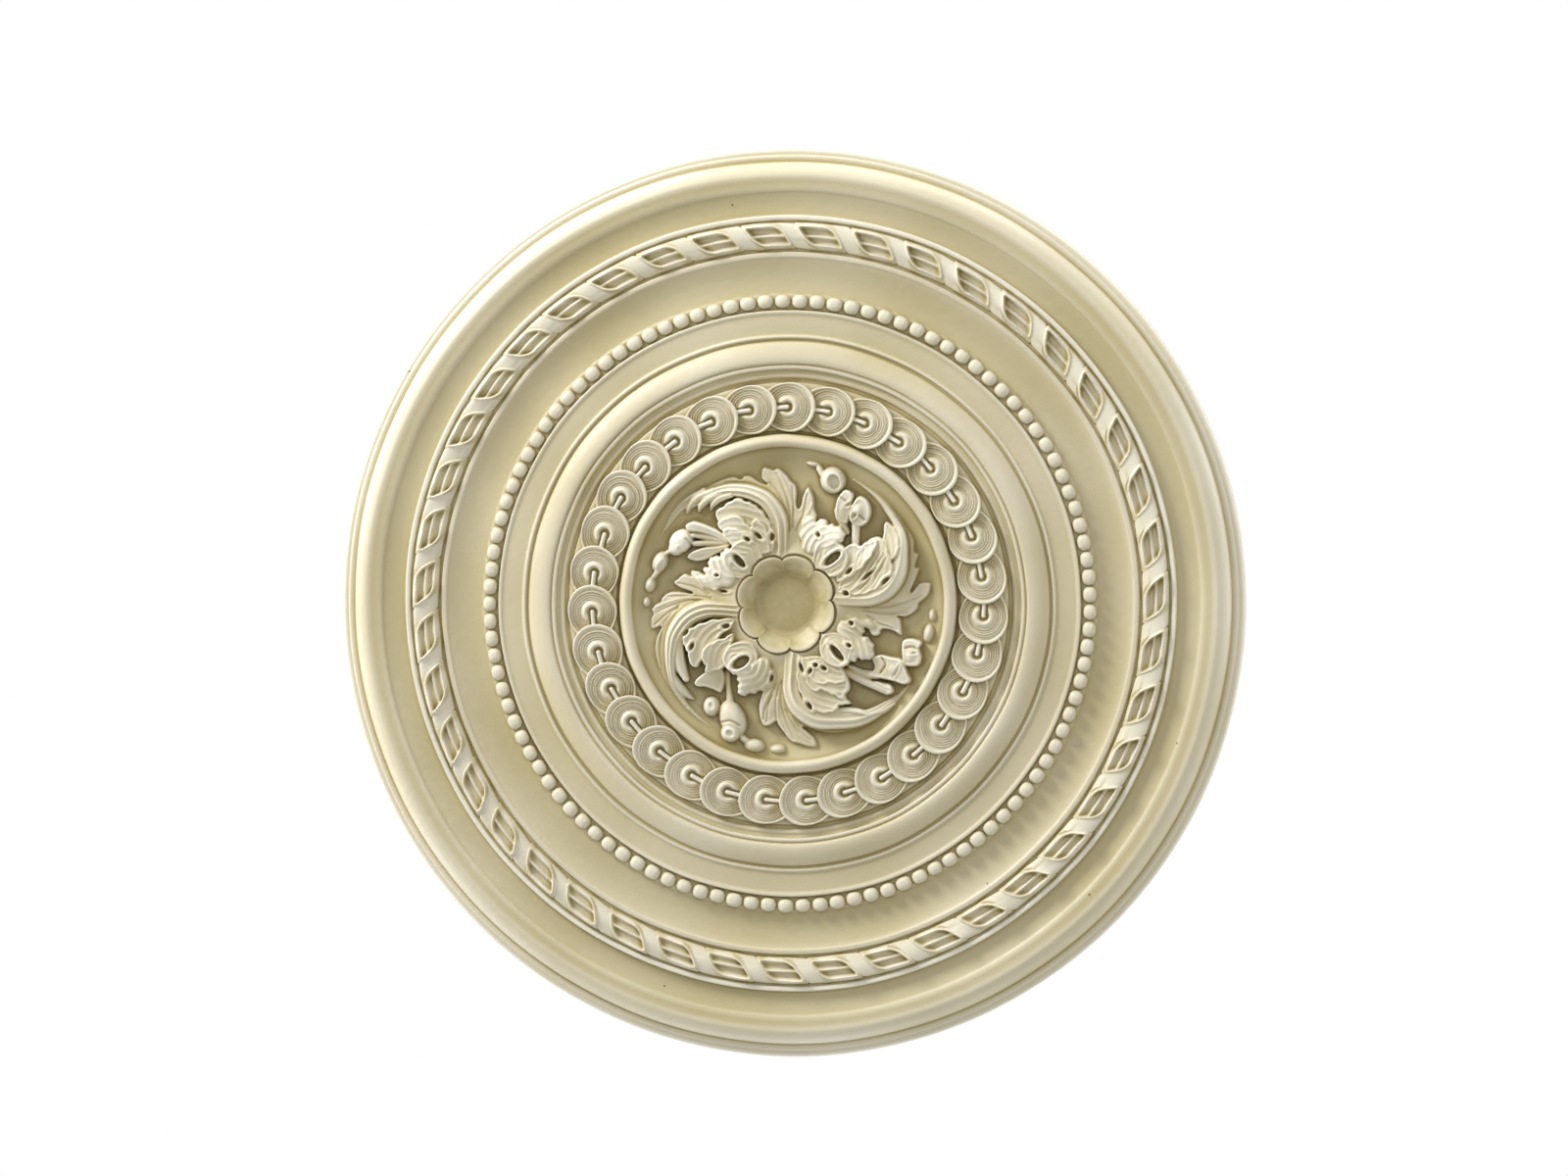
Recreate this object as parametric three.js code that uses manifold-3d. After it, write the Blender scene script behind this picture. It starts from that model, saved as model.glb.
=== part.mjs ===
// Ceiling rose of cast plaster, one solid, in millimetres, +Z up.
// It hangs under a ceiling: its flat back is the plane z = 0 and its ornament faces down, to -Z.
// Everything is worked out as the rose is seen from the room, with x to the right, y up and z coming
// out of the ceiling towards the viewer, and the finished solid is then turned over.
// Angles run anticlockwise from +x in that view.

import * as THREE from 'three';
import { mergeVertices } from 'three/addons/utils/BufferGeometryUtils.js';
import Module from 'manifold-3d';

const wasm = await Module();
wasm.setup();

// Driving dimensions

const ROSE_RADIUS = 380;
const TURNED_SEGMENTS = 36;
const PLASTER = { color: 0xc6bb99, roughness: 0.78, metalness: 0 };
const BURIED = 2;

const RIBBON = {
  turns: 43, start: 172, middle: 306.8, halfBand: 11.4, halfWidth: 10, lean: 9, bed: 22.5, foot: 24.5, crest: 29.6,
};
const BEADS = { count: 109, middle: 250.3, along: 7, across: 6.2, bed: 23, rise: 7.4 };
const COINS = {
  count: 31, start: 171, middle: 164.1, radius: 20.8, sides: 8, bed: 30,
  lowEdge: 33, highEdge: 37, eyeRadius: 9, eyeSides: 5, eyeHeight: 39,
};
const DISH = { edge: 130.6, edgeHeight: 32, floor: 26.5 };
const BOSS = { foot: 52, shoulder: 42, shoulderHeight: 40, recess: 28, plate: 18, plateHeight: 37 };
const PETALS = { count: 8, start: 5, notch: 37, tip: 42, height: 44, steps: 4 };
const QUARTERS = 4;

// Profile, from the rim to the centre: each point is [radius, height out of the ceiling]

// Quarter round: leaves the first point along the height and reaches the second along the radius.
function quarterRound(from, to, steps) {
  const points = [];
  for (let i = 0; i <= steps; i += 1) {
    const angle = (Math.PI / 2) * (i / steps);
    points.push([
      to[0] + (from[0] - to[0]) * Math.cos(angle),
      from[1] + (to[1] - from[1]) * Math.sin(angle),
    ]);
  }
  return points;
}

// Bow: an even swelling between two points, or with a negative rise a hollow.
function bow(from, to, rise, steps) {
  const points = [];
  for (let i = 0; i <= steps; i += 1) {
    const t = i / steps;
    points.push([
      from[0] + (to[0] - from[0]) * t,
      from[1] + (to[1] - from[1]) * t + rise * Math.sin(Math.PI * t),
    ]);
  }
  return points;
}

function roseProfile() {
  const rim = [[ROSE_RADIUS, 0], [ROSE_RADIUS, 9], [376.5, 12.8], [370.4, 12.4]];
  const rimTorus = quarterRound([369, 13], [353.5, 26], 3);
  const rimLip = [[344.6, 25.4], [343.2, 21.5]];
  const outerHollow = [[324.4, 20]];
  const ribbonFrame = [[323.2, 25.8], [320, 26], [318.6, RIBBON.bed]];
  const innerLip = [[295, RIBBON.bed], [293.4, 25.6], [289, 25]];
  const scotia = bow([287.6, 22.6], [258, BEADS.bed], -5, 3);
  const beadBed = [[243.4, BEADS.bed], [242.6, 27]];
  const band = [[222.8, 26.6], [219.4, 28.4]];
  const innerTorus = [...quarterRound([216.8, 27.4], [205.5, 35], 2), [200.4, 33]];
  const innerTorusLip = [[197, 33], [194.6, 29.4], [188.8, 29.8]];
  const coinBed = [[186.6, 28], [184.6, COINS.bed], [144.6, COINS.bed], [143, 28]];
  const dishRing = [[141.2, 36], [136.4, 41.2], [DISH.edge, DISH.edgeHeight]];
  const dish = [[100, DISH.floor], [BOSS.foot, DISH.floor]];
  const boss = [[BOSS.shoulder, BOSS.shoulderHeight], [0, BOSS.shoulderHeight]];
  return [
    [0, 0], ...rim, ...rimTorus, ...rimLip, ...outerHollow, ...ribbonFrame, ...innerLip,
    ...scotia, ...beadBed, ...band, ...innerTorus, ...innerTorusLip, ...coinBed, ...dishRing, ...dish,
    ...boss,
  ];
}

// Solids and joins

function toSolid(geometry) {
  const bare = geometry.clone();
  bare.deleteAttribute('normal');
  bare.deleteAttribute('uv');
  const merged = mergeVertices(bare, 1e-4);
  const mesh = new wasm.Mesh({
    numProp: 3,
    vertProperties: new Float32Array(merged.attributes.position.array),
    triVerts: new Uint32Array(merged.index.array),
  });
  return new wasm.Manifold(mesh);
}

function toGeometry(solid) {
  const mesh = solid.getMesh();
  const geometry = new THREE.BufferGeometry();
  geometry.setAttribute('position', new THREE.BufferAttribute(new Float32Array(mesh.vertProperties), 3));
  geometry.setIndex(new THREE.BufferAttribute(new Uint32Array(mesh.triVerts), 1));
  return geometry;
}

function joinAll(solids) {
  return solids.reduce((whole, solid) => whole.add(solid));
}

// Copies of a shape all round the centre, going clockwise.
function ringOf(geometry, count, startDegrees) {
  const copies = [];
  for (let i = 0; i < count; i += 1) {
    const angle = THREE.MathUtils.degToRad(startDegrees - (360 * i) / count);
    copies.push(toSolid(geometry.clone().rotateZ(angle)));
  }
  return copies;
}

// Closed skin over rings of points, each with as many points, and each end closed by a fan.
function skin(rings) {
  const sides = rings[0].length;
  const index = [];
  for (let i = 0; i + 1 < rings.length; i += 1) {
    for (let j = 0; j < sides; j += 1) {
      const a = i * sides + j;
      const b = i * sides + ((j + 1) % sides);
      index.push(a, b, b + sides, a, b + sides, a + sides);
    }
  }
  const last = (rings.length - 1) * sides;
  for (let j = 1; j + 1 < sides; j += 1) {
    index.push(0, j + 1, j);
    index.push(last, last + j, last + j + 1);
  }
  const geometry = new THREE.BufferGeometry();
  geometry.setAttribute('position', new THREE.Float32BufferAttribute(rings.flat(2), 3));
  geometry.setIndex(index);
  return geometry;
}

// Strand of relief: a ridge that follows a route of [x, y, half width, height of its back].
// Its section has a rounded back and a base that is sunk in what carries it.
function strand(route, base) {
  const rings = route.map(([x, y, halfWidth, height], i) => {
    const before = route[Math.max(i - 1, 0)];
    const after = route[Math.min(i + 1, route.length - 1)];
    const along = new THREE.Vector2(after[0] - before[0], after[1] - before[1]).normalize();
    const place = (out, z) => [x + along.y * out * halfWidth, y - along.x * out * halfWidth, z];
    return [place(-1, base), place(0, height), place(1, base)];
  });
  return skin(rings);
}

// Knob: a lump that comes to a blunt point, longer along than across.
function knob(x, y, height, along, across, rise, degrees) {
  const sides = 6;
  return new THREE.ConeGeometry(1, rise + BURIED, sides, 1)
    .rotateX(Math.PI / 2)
    .scale(along, across, 1)
    .rotateZ(THREE.MathUtils.degToRad(degrees))
    .translate(x, y, height + (rise - BURIED) / 2);
}

// Rings of ornament

function turnedBody() {
  const points = roseProfile().map(([radius, height]) => new THREE.Vector2(radius, height));
  return toSolid(new THREE.LatheGeometry(points, TURNED_SEGMENTS).rotateX(Math.PI / 2));
}

// One turn of the ribbon round its stick, leaning clockwise as it comes inwards.
function ribbonTurn() {
  const { middle, halfBand, halfWidth, lean, bed, foot, crest } = RIBBON;
  const section = (x, y, height) => [
    [x, y - halfWidth, bed - BURIED],
    [x, y + halfWidth, bed - BURIED],
    [x, y + halfWidth, height],
    [x, y - halfWidth, height],
  ];
  return skin([
    section(middle - halfBand, -lean, foot),
    section(middle, 0, crest),
    section(middle + halfBand, lean, foot),
  ]);
}

function bead() {
  return knob(BEADS.middle, 0, BEADS.bed, BEADS.across, BEADS.along, BEADS.rise, 0);
}

// A coin lies over its clockwise neighbour, so its clockwise edge is the high one.
function coin() {
  const { middle, radius, sides, bed, lowEdge, highEdge } = COINS;
  const tilt = Math.atan2(highEdge - lowEdge, 2 * radius);
  const thickness = highEdge - bed + BURIED;
  return new THREE.CylinderGeometry(radius, radius, thickness, sides, 1)
    .rotateX(Math.PI / 2)
    .translate(0, 0, -thickness / 2)
    .rotateX(-tilt)
    .translate(middle, 0, (lowEdge + highEdge) / 2);
}

function coinEye() {
  const { middle, eyeRadius, eyeSides, eyeHeight, bed } = COINS;
  const height = eyeHeight - bed;
  return new THREE.ConeGeometry(eyeRadius, height, eyeSides, 1)
    .rotateX(Math.PI / 2)
    .translate(middle, 0, bed + height / 2);
}

// Centre

// Flower of petals that frames the recess, as one low block with a scalloped outline.
function flower() {
  const { count, start, notch, tip, height, steps } = PETALS;
  const outline = [];
  for (let i = 0; i < count * steps; i += 1) {
    const swell = Math.abs(Math.sin((Math.PI * i) / steps));
    const radius = notch + (tip - notch) * Math.sqrt(swell);
    const angle = THREE.MathUtils.degToRad(start) + (2 * Math.PI * i) / (count * steps);
    outline.push(new THREE.Vector2(radius * Math.cos(angle), radius * Math.sin(angle)));
  }
  const depth = height - DISH.floor;
  const block = new THREE.ExtrudeGeometry(new THREE.Shape(outline), { depth, bevelEnabled: false });
  return toSolid(block.translate(0, 0, DISH.floor));
}

// Recess inside the petals: sloping sides and a flat floor, where a lamp would hang.
function recess() {
  const above = 10;
  const points = [
    [0, BOSS.plateHeight],
    [BOSS.plate, BOSS.plateHeight],
    [BOSS.recess, PETALS.height],
    [BOSS.recess + above, PETALS.height + above],
    [0, PETALS.height + above],
  ].map(([radius, height]) => new THREE.Vector2(radius, height));
  return toSolid(new THREE.LatheGeometry(points, PETALS.count * PETALS.steps).rotateX(Math.PI / 2));
}

// Leaf that springs from the top of the boss and curls anticlockwise, with the bud beside it.
function leafStrands() {
  const base = DISH.floor - BURIED;
  const scroll = [
    [3, 44, 8, 43], [-1, 66, 10, 43], [-13, 86, 11, 42], [-35, 96, 11, 40], [-58, 94, 9, 37], [-75, 87, 6, 33],
    [-87, 77, 2, 29],
  ];
  const tallFrond = [[4, 60, 7, 40], [-4, 88, 10, 37], [-17, 111, 3, 31]];
  const shortFrond = [[7, 58, 5, 39], [10, 84, 7, 35], [6, 101, 2, 30]];
  const sprig = [[11, 54, 3, 37], [15, 78, 4.5, 34], [17, 95, 1.5, 30]];
  const fold = [[-12, 52, 7, 42], [-30, 68, 15, 43], [-62, 75, 3, 34]];
  const innerScroll = [[-16, 40, 7, 43], [-30, 53, 6, 45], [-50, 50, 6, 44], [-56, 35, 6, 42], [-44, 25, 6, 42]];
  const frontTip = [[-50, 44, 7, 42], [-70, 36, 5, 37], [-80, 24, 2, 31]];
  const budStem = [[-56, 62, 2.5, 34], [-76, 60, 6, 37], [-90, 50, 5, 37]];
  return [scroll, tallFrond, shortFrond, sprig, fold, innerScroll, frontTip, budStem].map(
    (route) => strand(route, base),
  );
}

function berries() {
  const sizes = [[-106, 33, 9, 7, 11, 60], [-114, 16, 7.5, 5.5, 9, 75], [-117, 2, 6, 4, 7, 85]];
  return sizes.map(([x, y, along, across, rise, degrees]) => (
    knob(x, y, DISH.floor, along, across, rise, degrees)
  ));
}

function buildRose() {
  const coins = ringOf(coin(), COINS.count, COINS.start);
  const eyes = ringOf(coinEye(), COINS.count, COINS.start);
  const ribbon = ringOf(ribbonTurn(), RIBBON.turns, RIBBON.start);
  const beads = ringOf(bead(), BEADS.count, 0);
  const leaves = [...leafStrands(), ...berries()].flatMap((shape) => ringOf(shape, QUARTERS, 0));
  const whole = joinAll([turnedBody(), ...coins, ...eyes, ...ribbon, ...beads, ...leaves, flower()]);
  return whole.subtract(recess());
}

const rose = new THREE.Mesh(toGeometry(buildRose()), new THREE.MeshStandardMaterial(PLASTER));
rose.name = 'ceiling_rose';
rose.rotation.x = Math.PI;

const group = new THREE.Group();
group.add(rose);

export default group;
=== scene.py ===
"""A cast plaster ceiling rose on a ceiling, seen from below.

Lengths in the modelling functions are in millimetres in the room view: x to the right and y up as the
rose is seen from the room, height out of the ceiling towards the viewer. to_world() turns them into
the frame's metres. Angles run anticlockwise from x in the room view.
"""
import math

import bpy
import numpy as np
from mathutils import Matrix, Vector


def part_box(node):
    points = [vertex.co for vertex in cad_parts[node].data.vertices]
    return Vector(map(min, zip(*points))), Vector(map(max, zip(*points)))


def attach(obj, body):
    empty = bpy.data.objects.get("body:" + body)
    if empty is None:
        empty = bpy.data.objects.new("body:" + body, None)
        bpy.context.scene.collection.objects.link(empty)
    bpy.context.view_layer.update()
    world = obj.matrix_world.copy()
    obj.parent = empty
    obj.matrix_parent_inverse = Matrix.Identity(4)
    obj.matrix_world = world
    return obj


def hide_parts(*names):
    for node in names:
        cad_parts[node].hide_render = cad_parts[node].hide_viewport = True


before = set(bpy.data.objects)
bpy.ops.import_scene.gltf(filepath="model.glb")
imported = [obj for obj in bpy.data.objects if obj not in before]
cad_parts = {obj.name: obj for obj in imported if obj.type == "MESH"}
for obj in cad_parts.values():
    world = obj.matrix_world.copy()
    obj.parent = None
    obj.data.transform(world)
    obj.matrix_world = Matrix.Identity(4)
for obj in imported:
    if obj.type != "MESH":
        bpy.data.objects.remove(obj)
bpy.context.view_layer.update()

MM = 0.001
NODE = "ceiling_rose"
BODY = "root"

# Driving sizes, in millimetres
ROSE_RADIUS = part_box(NODE)[1][0] / MM
BURIED = 0.8
TURNED_COLUMNS = 360
CORNER = 0.9

RIBBON = {"turns": 43, "start": 176.8, "inner": 294.6, "outer": 318.2, "middle": 306.6, "bed": 22.4,
          "foot": 24.4, "crest": 29.0, "lean": 34.0, "slot_floor": 24.5, "stick": 28.4, "twist": 0.7}
EYE = {"half_along": 13.8, "half_across": 7.2, "wide_corner": 6.8, "tight_corner": 2.2}
BEADS = {"count": 109, "start": 177.0, "middle": 252.2, "along": 6.95, "across": 5.9, "bed": 23.0,
         "rise": 6.4}
COINS = {"count": 31, "start": 171.0, "middle": 164.2, "radius": 20.6, "ahead": 2.6, "tail": 27.0,
         "bed": 30.0, "low": 32.6, "high": 37.0, "grooves": (12.2, 14.2, 16.2, 18.2), "own_outline": 17.4}
DISH = {"edge": 130.6, "floor": 26.4}
PETALS = {"count": 8, "start": 5.0, "notch": 35.8, "tip": 41.5, "height": 44.4, "lip": 26.5, "floor": 33.6}
LEAVES = {"inner": 34.0, "outer": 127.0, "cell": 0.56, "quarters": 4}

# Offset added to each ornament's painted light: how much darker it is made than its hollows alone make it;
# below zero it is made lighter
RIBBON_SHADE_OFFSET = 0.12
BEAD_SHADE_OFFSET = 0.20
COIN_SHADE_OFFSET = 0.07
COIN_BORDER_SHADE_OFFSET = 0.13
PETAL_SHADE_OFFSET = 0.33
# Painted shade in the recess inside the petals
RECESS_SHADE = 0.03
LEAF_SHADE_OFFSET = -0.03
# Strength of the painted highlight on the high lobes
LOBE_HIGHLIGHT = -0.22

# The same for the turned mouldings, by radius
MOULDING_SHADE_OFFSETS = [
    (126, 0.07), (131, 0.13), (142, 0.13), (146, 0.0), (187, 0.0), (189, -0.06), (197, -0.06), (200, 0.0),
    (220, 0.0), (221.5, -0.1), (223.6, -0.1), (225, 0.0), (257, 0.0), (260, 0.05), (284, 0.05), (288, 0.0),
    (318, 0.0), (320, -0.2), (323.5, -0.2), (326, 0.05), (342, 0.05), (345, 0.02), (348, 0.14),
    (353, 0.14), (356, 0.02), (366, 0.0), (369, -0.14), (375, -0.14), (378, 0.0),
]


# Small helpers for curves and surfaces

def to_world(points):
    """Room view millimetres to the frame's metres."""
    points = np.asarray(points, float)
    return np.stack([points[..., 0], -points[..., 1], -points[..., 2]], axis=-1) * MM


def smooth_step(value, low, high):
    """0 below low, 1 above high, with a soft change between."""
    t = np.clip((value - low) / (high - low), 0.0, 1.0)
    return t * t * (3.0 - 2.0 * t)


def hand_made(x, y, height):
    """The slight waver of a mould that was run and pressed by hand; it fades towards the middle."""
    fade_from = 120.0
    radius = np.hypot(x, y)
    angle = np.arctan2(y, x)
    share = np.clip(radius / fade_from, 0.0, 1.0)
    out = 0.32 * np.sin(3 * angle + 0.7) + 0.22 * np.sin(7 * angle + radius / 60.0)
    out += 0.12 * np.sin(17 * angle + radius / 25.0)
    lift = 0.20 * np.sin(5 * angle + radius / 45.0) + 0.12 * np.sin(13 * angle + 1.9)
    scale = 1.0 + share * out / np.maximum(radius, 1.0)
    return x * scale, y * scale, height + share * lift * np.clip(height / 20.0, 0.0, 1.0)


def bow(start, end, rise, steps):
    """Profile points after start up to end, bulging by rise at the middle."""
    start = np.array(start, float)
    end = np.array(end, float)
    along = end - start
    normal = np.array([-along[1], along[0]]) / np.hypot(*along)
    t = np.arange(1, steps + 1)[:, None] / steps
    return start + along * t + normal * rise * 4 * t * (1 - t)


def half_round(start, end, crest, steps):
    """Profile points of a rounded moulding from start over its crest height to end."""
    start = np.array(start, float)
    end = np.array(end, float)
    turn = math.pi * np.arange(1, steps) / steps
    radius = start[0] + (end[0] - start[0]) * (1 - np.cos(turn)) / 2
    foot = start[1] + (end[1] - start[1]) * (1 - np.cos(turn)) / 2
    height = foot + (crest - np.maximum(start[1], end[1])) * np.sin(turn)
    return np.vstack([np.stack([radius, height], axis=1), end])


def soften(points, corner):
    """Rounds every sharp corner of a profile."""
    sharp = 0.35
    most = 0.42
    out = [points[0]]
    for before, here, after in zip(points[:-2], points[1:-1], points[2:]):
        back = before - here
        on = after - here
        back_length = np.hypot(*back)
        on_length = np.hypot(*on)
        turn = abs(back[0] * on[1] - back[1] * on[0]) / (back_length * on_length)
        if turn < sharp:
            out.append(here)
            continue
        near = here + back / back_length * min(corner, most * back_length)
        far = here + on / on_length * min(corner, most * on_length)
        out.extend([near, (near + 2 * here + far) / 4, far])
    out.append(points[-1])
    return np.array(out)


def edge_rows(points, away=2.6, long=8.0):
    """Adds a row of points near both ends of every long straight stretch of a profile."""
    out = [points[0]]
    for start, end in zip(points[:-1], points[1:]):
        length = np.hypot(*(end - start))
        if length > long:
            out.extend([start + (end - start) * away / length, end - (end - start) * away / length])
        out.append(end)
    return np.array(out)


# Closed meshes from grids of points: rows along the section, columns round

def enclosed_volume(vertices, faces):
    """Below zero where the faces of a closed shape turn inwards."""
    corners = np.array([(face[0], face[1], face[2]) for face in faces])
    quads = np.array([(face[0], face[2], face[3]) for face in faces if len(face) == 4])
    volume = 0.0
    for a, b, c in (vertices[picked].transpose(1, 0, 2) for picked in (corners, quads)):
        volume += np.einsum("ij,ij->", a, np.cross(b, c))
    return volume


class Shape:
    """Vertices in the room view and faces, gathered for one piece, and how far each vertex's painted light
    is offset.
    """

    def __init__(self):
        self.vertices = []
        self.faces = []
        self.shade_offsets = []
        self.count = 0

    def add(self, vertices, faces, shade_offset=0.0):
        vertices = np.asarray(vertices, float)
        self.shade_offsets.append(np.broadcast_to(shade_offset, len(vertices)))
        if enclosed_volume(vertices, faces) < 0:
            faces = [face[::-1] for face in faces]
        self.vertices.append(vertices)
        self.faces.extend([[index + self.count for index in face] for face in faces])
        self.count += len(vertices)

    def points(self):
        return np.vstack(self.vertices)


def strip_faces(rows, columns, wrap_rows, wrap_columns):
    """Quads between neighbouring rows and columns."""
    faces = []
    for row in range(rows if wrap_rows else rows - 1):
        here = row * columns
        there = (row + 1) % rows * columns
        for column in range(columns if wrap_columns else columns - 1):
            after = (column + 1) % columns
            faces.append((here + column, there + column, there + after, here + after))
    return faces


def add_tube(shape, grid, wrap_columns=True):
    """A ring or a stretch of ring whose section is closed; a stretch gets flat ends."""
    rows, columns = grid.shape[:2]
    faces = strip_faces(rows, columns, True, wrap_columns)
    if not wrap_columns:
        faces.append([row * columns for row in range(rows)])
        faces.append([row * columns + columns - 1 for row in reversed(range(rows))])
    shape.add(grid.reshape(-1, 3), faces)


def add_dome(shape, grid, top, bottom, shade_offset=0.0):
    """A closed shape from a top point through rows of points to a bottom point; each row has its offset of
    the painted light.
    """
    rows, columns = grid.shape[:2]
    faces = strip_faces(rows, columns, False, True)
    top_index = rows * columns
    last = (rows - 1) * columns
    for column in range(columns):
        after = (column + 1) % columns
        faces.append((top_index, column, after))
        faces.append((top_index + 1, last + after, last + column))
    shade_offset = np.broadcast_to(shade_offset, rows)
    shade_offset = np.concatenate([np.repeat(shade_offset, columns), [shade_offset[0], shade_offset[-1]]])
    shape.add(np.vstack([grid.reshape(-1, 3), top, bottom]), faces, shade_offset)


def polar_grid(radius, angle, height):
    """Room view points from arrays of radius, angle and height, with the waver added."""
    x, y, height = hand_made(radius * np.cos(angle), radius * np.sin(angle), height)
    return np.stack([x, y, height], axis=-1)


def polar_point(radius, angle, height):
    return polar_grid(np.array(radius), np.array(angle), np.array(height))


# The turned body

def front_profile():
    """Radius and height of the turned mouldings, from the middle out to the rim."""
    runs = [
        [[0, 32.0], [40, 32.0]],
        bow([40, 32.0], [60, 26.6], -0.8, 4),
        bow([60, 26.6], [108, 26.6], -0.4, 4),
        bow([108, 26.6], [DISH["edge"], 33.4], -1.1, 6),
        half_round([DISH["edge"], 33.4], [141.8, 31.0], 41.2, 12),
        [[142.6, 27.4], [143.8, 27.4], [144.6, 30], [184.2, 30], [184.8, 26.8], [187.8, 26.8]],
        [[188.6, 29.4], [191.2, 30]],
        bow([191.2, 30], [195.2, 30.2], -1.0, 4),
        [[195.8, 33.2], [198.4, 33.4], [199.3, 31.8], [200.2, 33]],
        half_round([200.2, 33], [218.9, 27.2], 36.6, 12),
        [[219.8, 26.2], [220.9, 26.2], [221.5, 28.4], [223.6, 28.4], [224.5, 26.7], [240.6, 26.4]],
        [[242.2, 27.5], [244.5, 27.6], [245.2, 22.6], [257.6, 22.9], [258.8, 21.6]],
        bow([258.8, 21.6], [288.4, 24.6], -2.3, 12),
        [[289.2, 25.8], [293.0, 25.8], [293.8, 22.4], [319.4, 22.4]],
        [[320.2, 25.6], [323.7, 26.0], [324.6, 20.9]],
        bow([324.6, 20.9], [343.4, 23.2], -1.15, 8),
        [[344.4, 24.4], [347.0, 25.4], [349.5, 25.5], [352.6, 25.7], [354.8, 26.2], [357.4, 26.4]],
        bow([357.4, 26.4], [368.9, 13.4], 2.8, 10),
        [[369.7, 12.5], [371.6, 13.2], [373.8, 13.2], [374.9, 11.8], [375.9, 11.9]],
        bow([375.9, 11.9], [ROSE_RADIUS, 8.2], 1.3, 5),
    ]
    points = np.vstack([np.array(run, float) for run in runs])
    keep = np.append(True, np.hypot(*np.diff(points, axis=0).T) > 0.02)
    return edge_rows(soften(points[keep], CORNER))


FRONT = front_profile()


def front_height(radius):
    return np.interp(radius, FRONT[:, 0], FRONT[:, 1])


def back_profile():
    """The flat back from the rim inwards, combed in shallow rings to hold the fixing plaster."""
    comb = {"outer": 350.0, "inner": 70.0, "pitch": 25.0, "depth": 0.9, "half": 2.6}
    points = [[ROSE_RADIUS, 1.2], [ROSE_RADIUS - 1.2, 0.0]]
    radius = comb["outer"]
    while radius > comb["inner"]:
        points += [[radius + comb["half"], 0.0], [radius, comb["depth"]], [radius - comb["half"], 0.0]]
        radius -= comb["pitch"]
    return np.array(points)


def turned_body():
    profile = np.vstack([FRONT[1:], back_profile()])
    angle = np.arange(TURNED_COLUMNS) * 2 * math.pi / TURNED_COLUMNS
    radius = np.repeat(profile[:, :1], TURNED_COLUMNS, axis=1)
    height = np.repeat(profile[:, 1:], TURNED_COLUMNS, axis=1)
    shape = Shape()
    add_dome(shape, polar_grid(radius, angle[None, :], height), [0, 0, FRONT[0, 1]], [0, 0, 0])
    away = np.hypot(*shape.points()[:, :2].T)
    shape.shade_offsets = [np.interp(away, *zip(*MOULDING_SHADE_OFFSETS))]
    return shape


# The ribbon wound round a stick

def rounded_box(along, across, half_along, half_across):
    """Distance to an eye's edge, positive inside; two opposite corners are rounded more widely."""
    corner = np.where(along * across > 0, EYE["wide_corner"], EYE["tight_corner"])
    a = np.abs(along) - half_along + corner
    b = np.abs(across) - half_across + corner
    outside = np.hypot(np.maximum(a, 0), np.maximum(b, 0)) + np.minimum(np.maximum(a, b), 0) - corner
    return -outside


def ribbon_columns():
    """Places across one period of the ribbon, close together where the eyes' edges are."""
    before = 3.4
    after = 6.2
    gap = 1.8
    near = np.linspace(-EYE["half_along"] - before, -EYE["half_along"] + after, 19)
    inner = np.linspace(near[-1] + gap, -near[-1] - gap, 7)
    return np.concatenate([near, inner, -near[::-1]])


def ribbon_height(along, radius, eye):
    """Height of the ribbon; along is the distance clockwise from the eye's middle, sheared to the lean."""
    low_rim = 1.1
    leading_rim = 1.3
    stick_half = 1.75
    crease_depth = 0.8
    edge_drop = 2.6
    half = (RIBBON["outer"] - RIBBON["inner"]) / 2
    across = radius - RIBBON["middle"]
    swell = 1 - np.clip(np.abs(across - 2.0) / (half + 2.4), 0, 1) ** 2.0
    band = RIBBON["foot"] + (RIBBON["crest"] - RIBBON["foot"]) * swell
    period = 2 * math.pi * RIBBON["middle"] / RIBBON["turns"]
    band -= RIBBON["twist"] * math.sin(2 * math.pi * along[0] / period)
    inside = rounded_box(along, across - eye["shift"], eye["half_along"], eye["half_across"])
    # The ribbon's leading edge stands up as a rim; at its far end it comes up softly out of the eye
    leading = smooth_step(-along, -2.0, 6.0)
    rim = (low_rim + leading_rim * leading) * np.exp(-((inside + 1.0) / 1.0) ** 2)
    soft = 2.3 + 0.7 * (1 - leading)
    stick = (RIBBON["stick"] - RIBBON["slot_floor"]) * np.exp(
        -(np.abs(across - eye["stick"]) / stick_half) ** 2.4)
    floor = RIBBON["slot_floor"] + stick
    height = band + rim
    height += (floor - height) * smooth_step(inside, -0.6, soft)
    crease = np.exp(-((inside + 3.3) / 0.9) ** 2) * smooth_step(-across, 1.0, 5.0) * leading
    return height - crease_depth * crease - edge_drop * smooth_step(np.abs(across), half - 1.8, half + 0.2)


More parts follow.
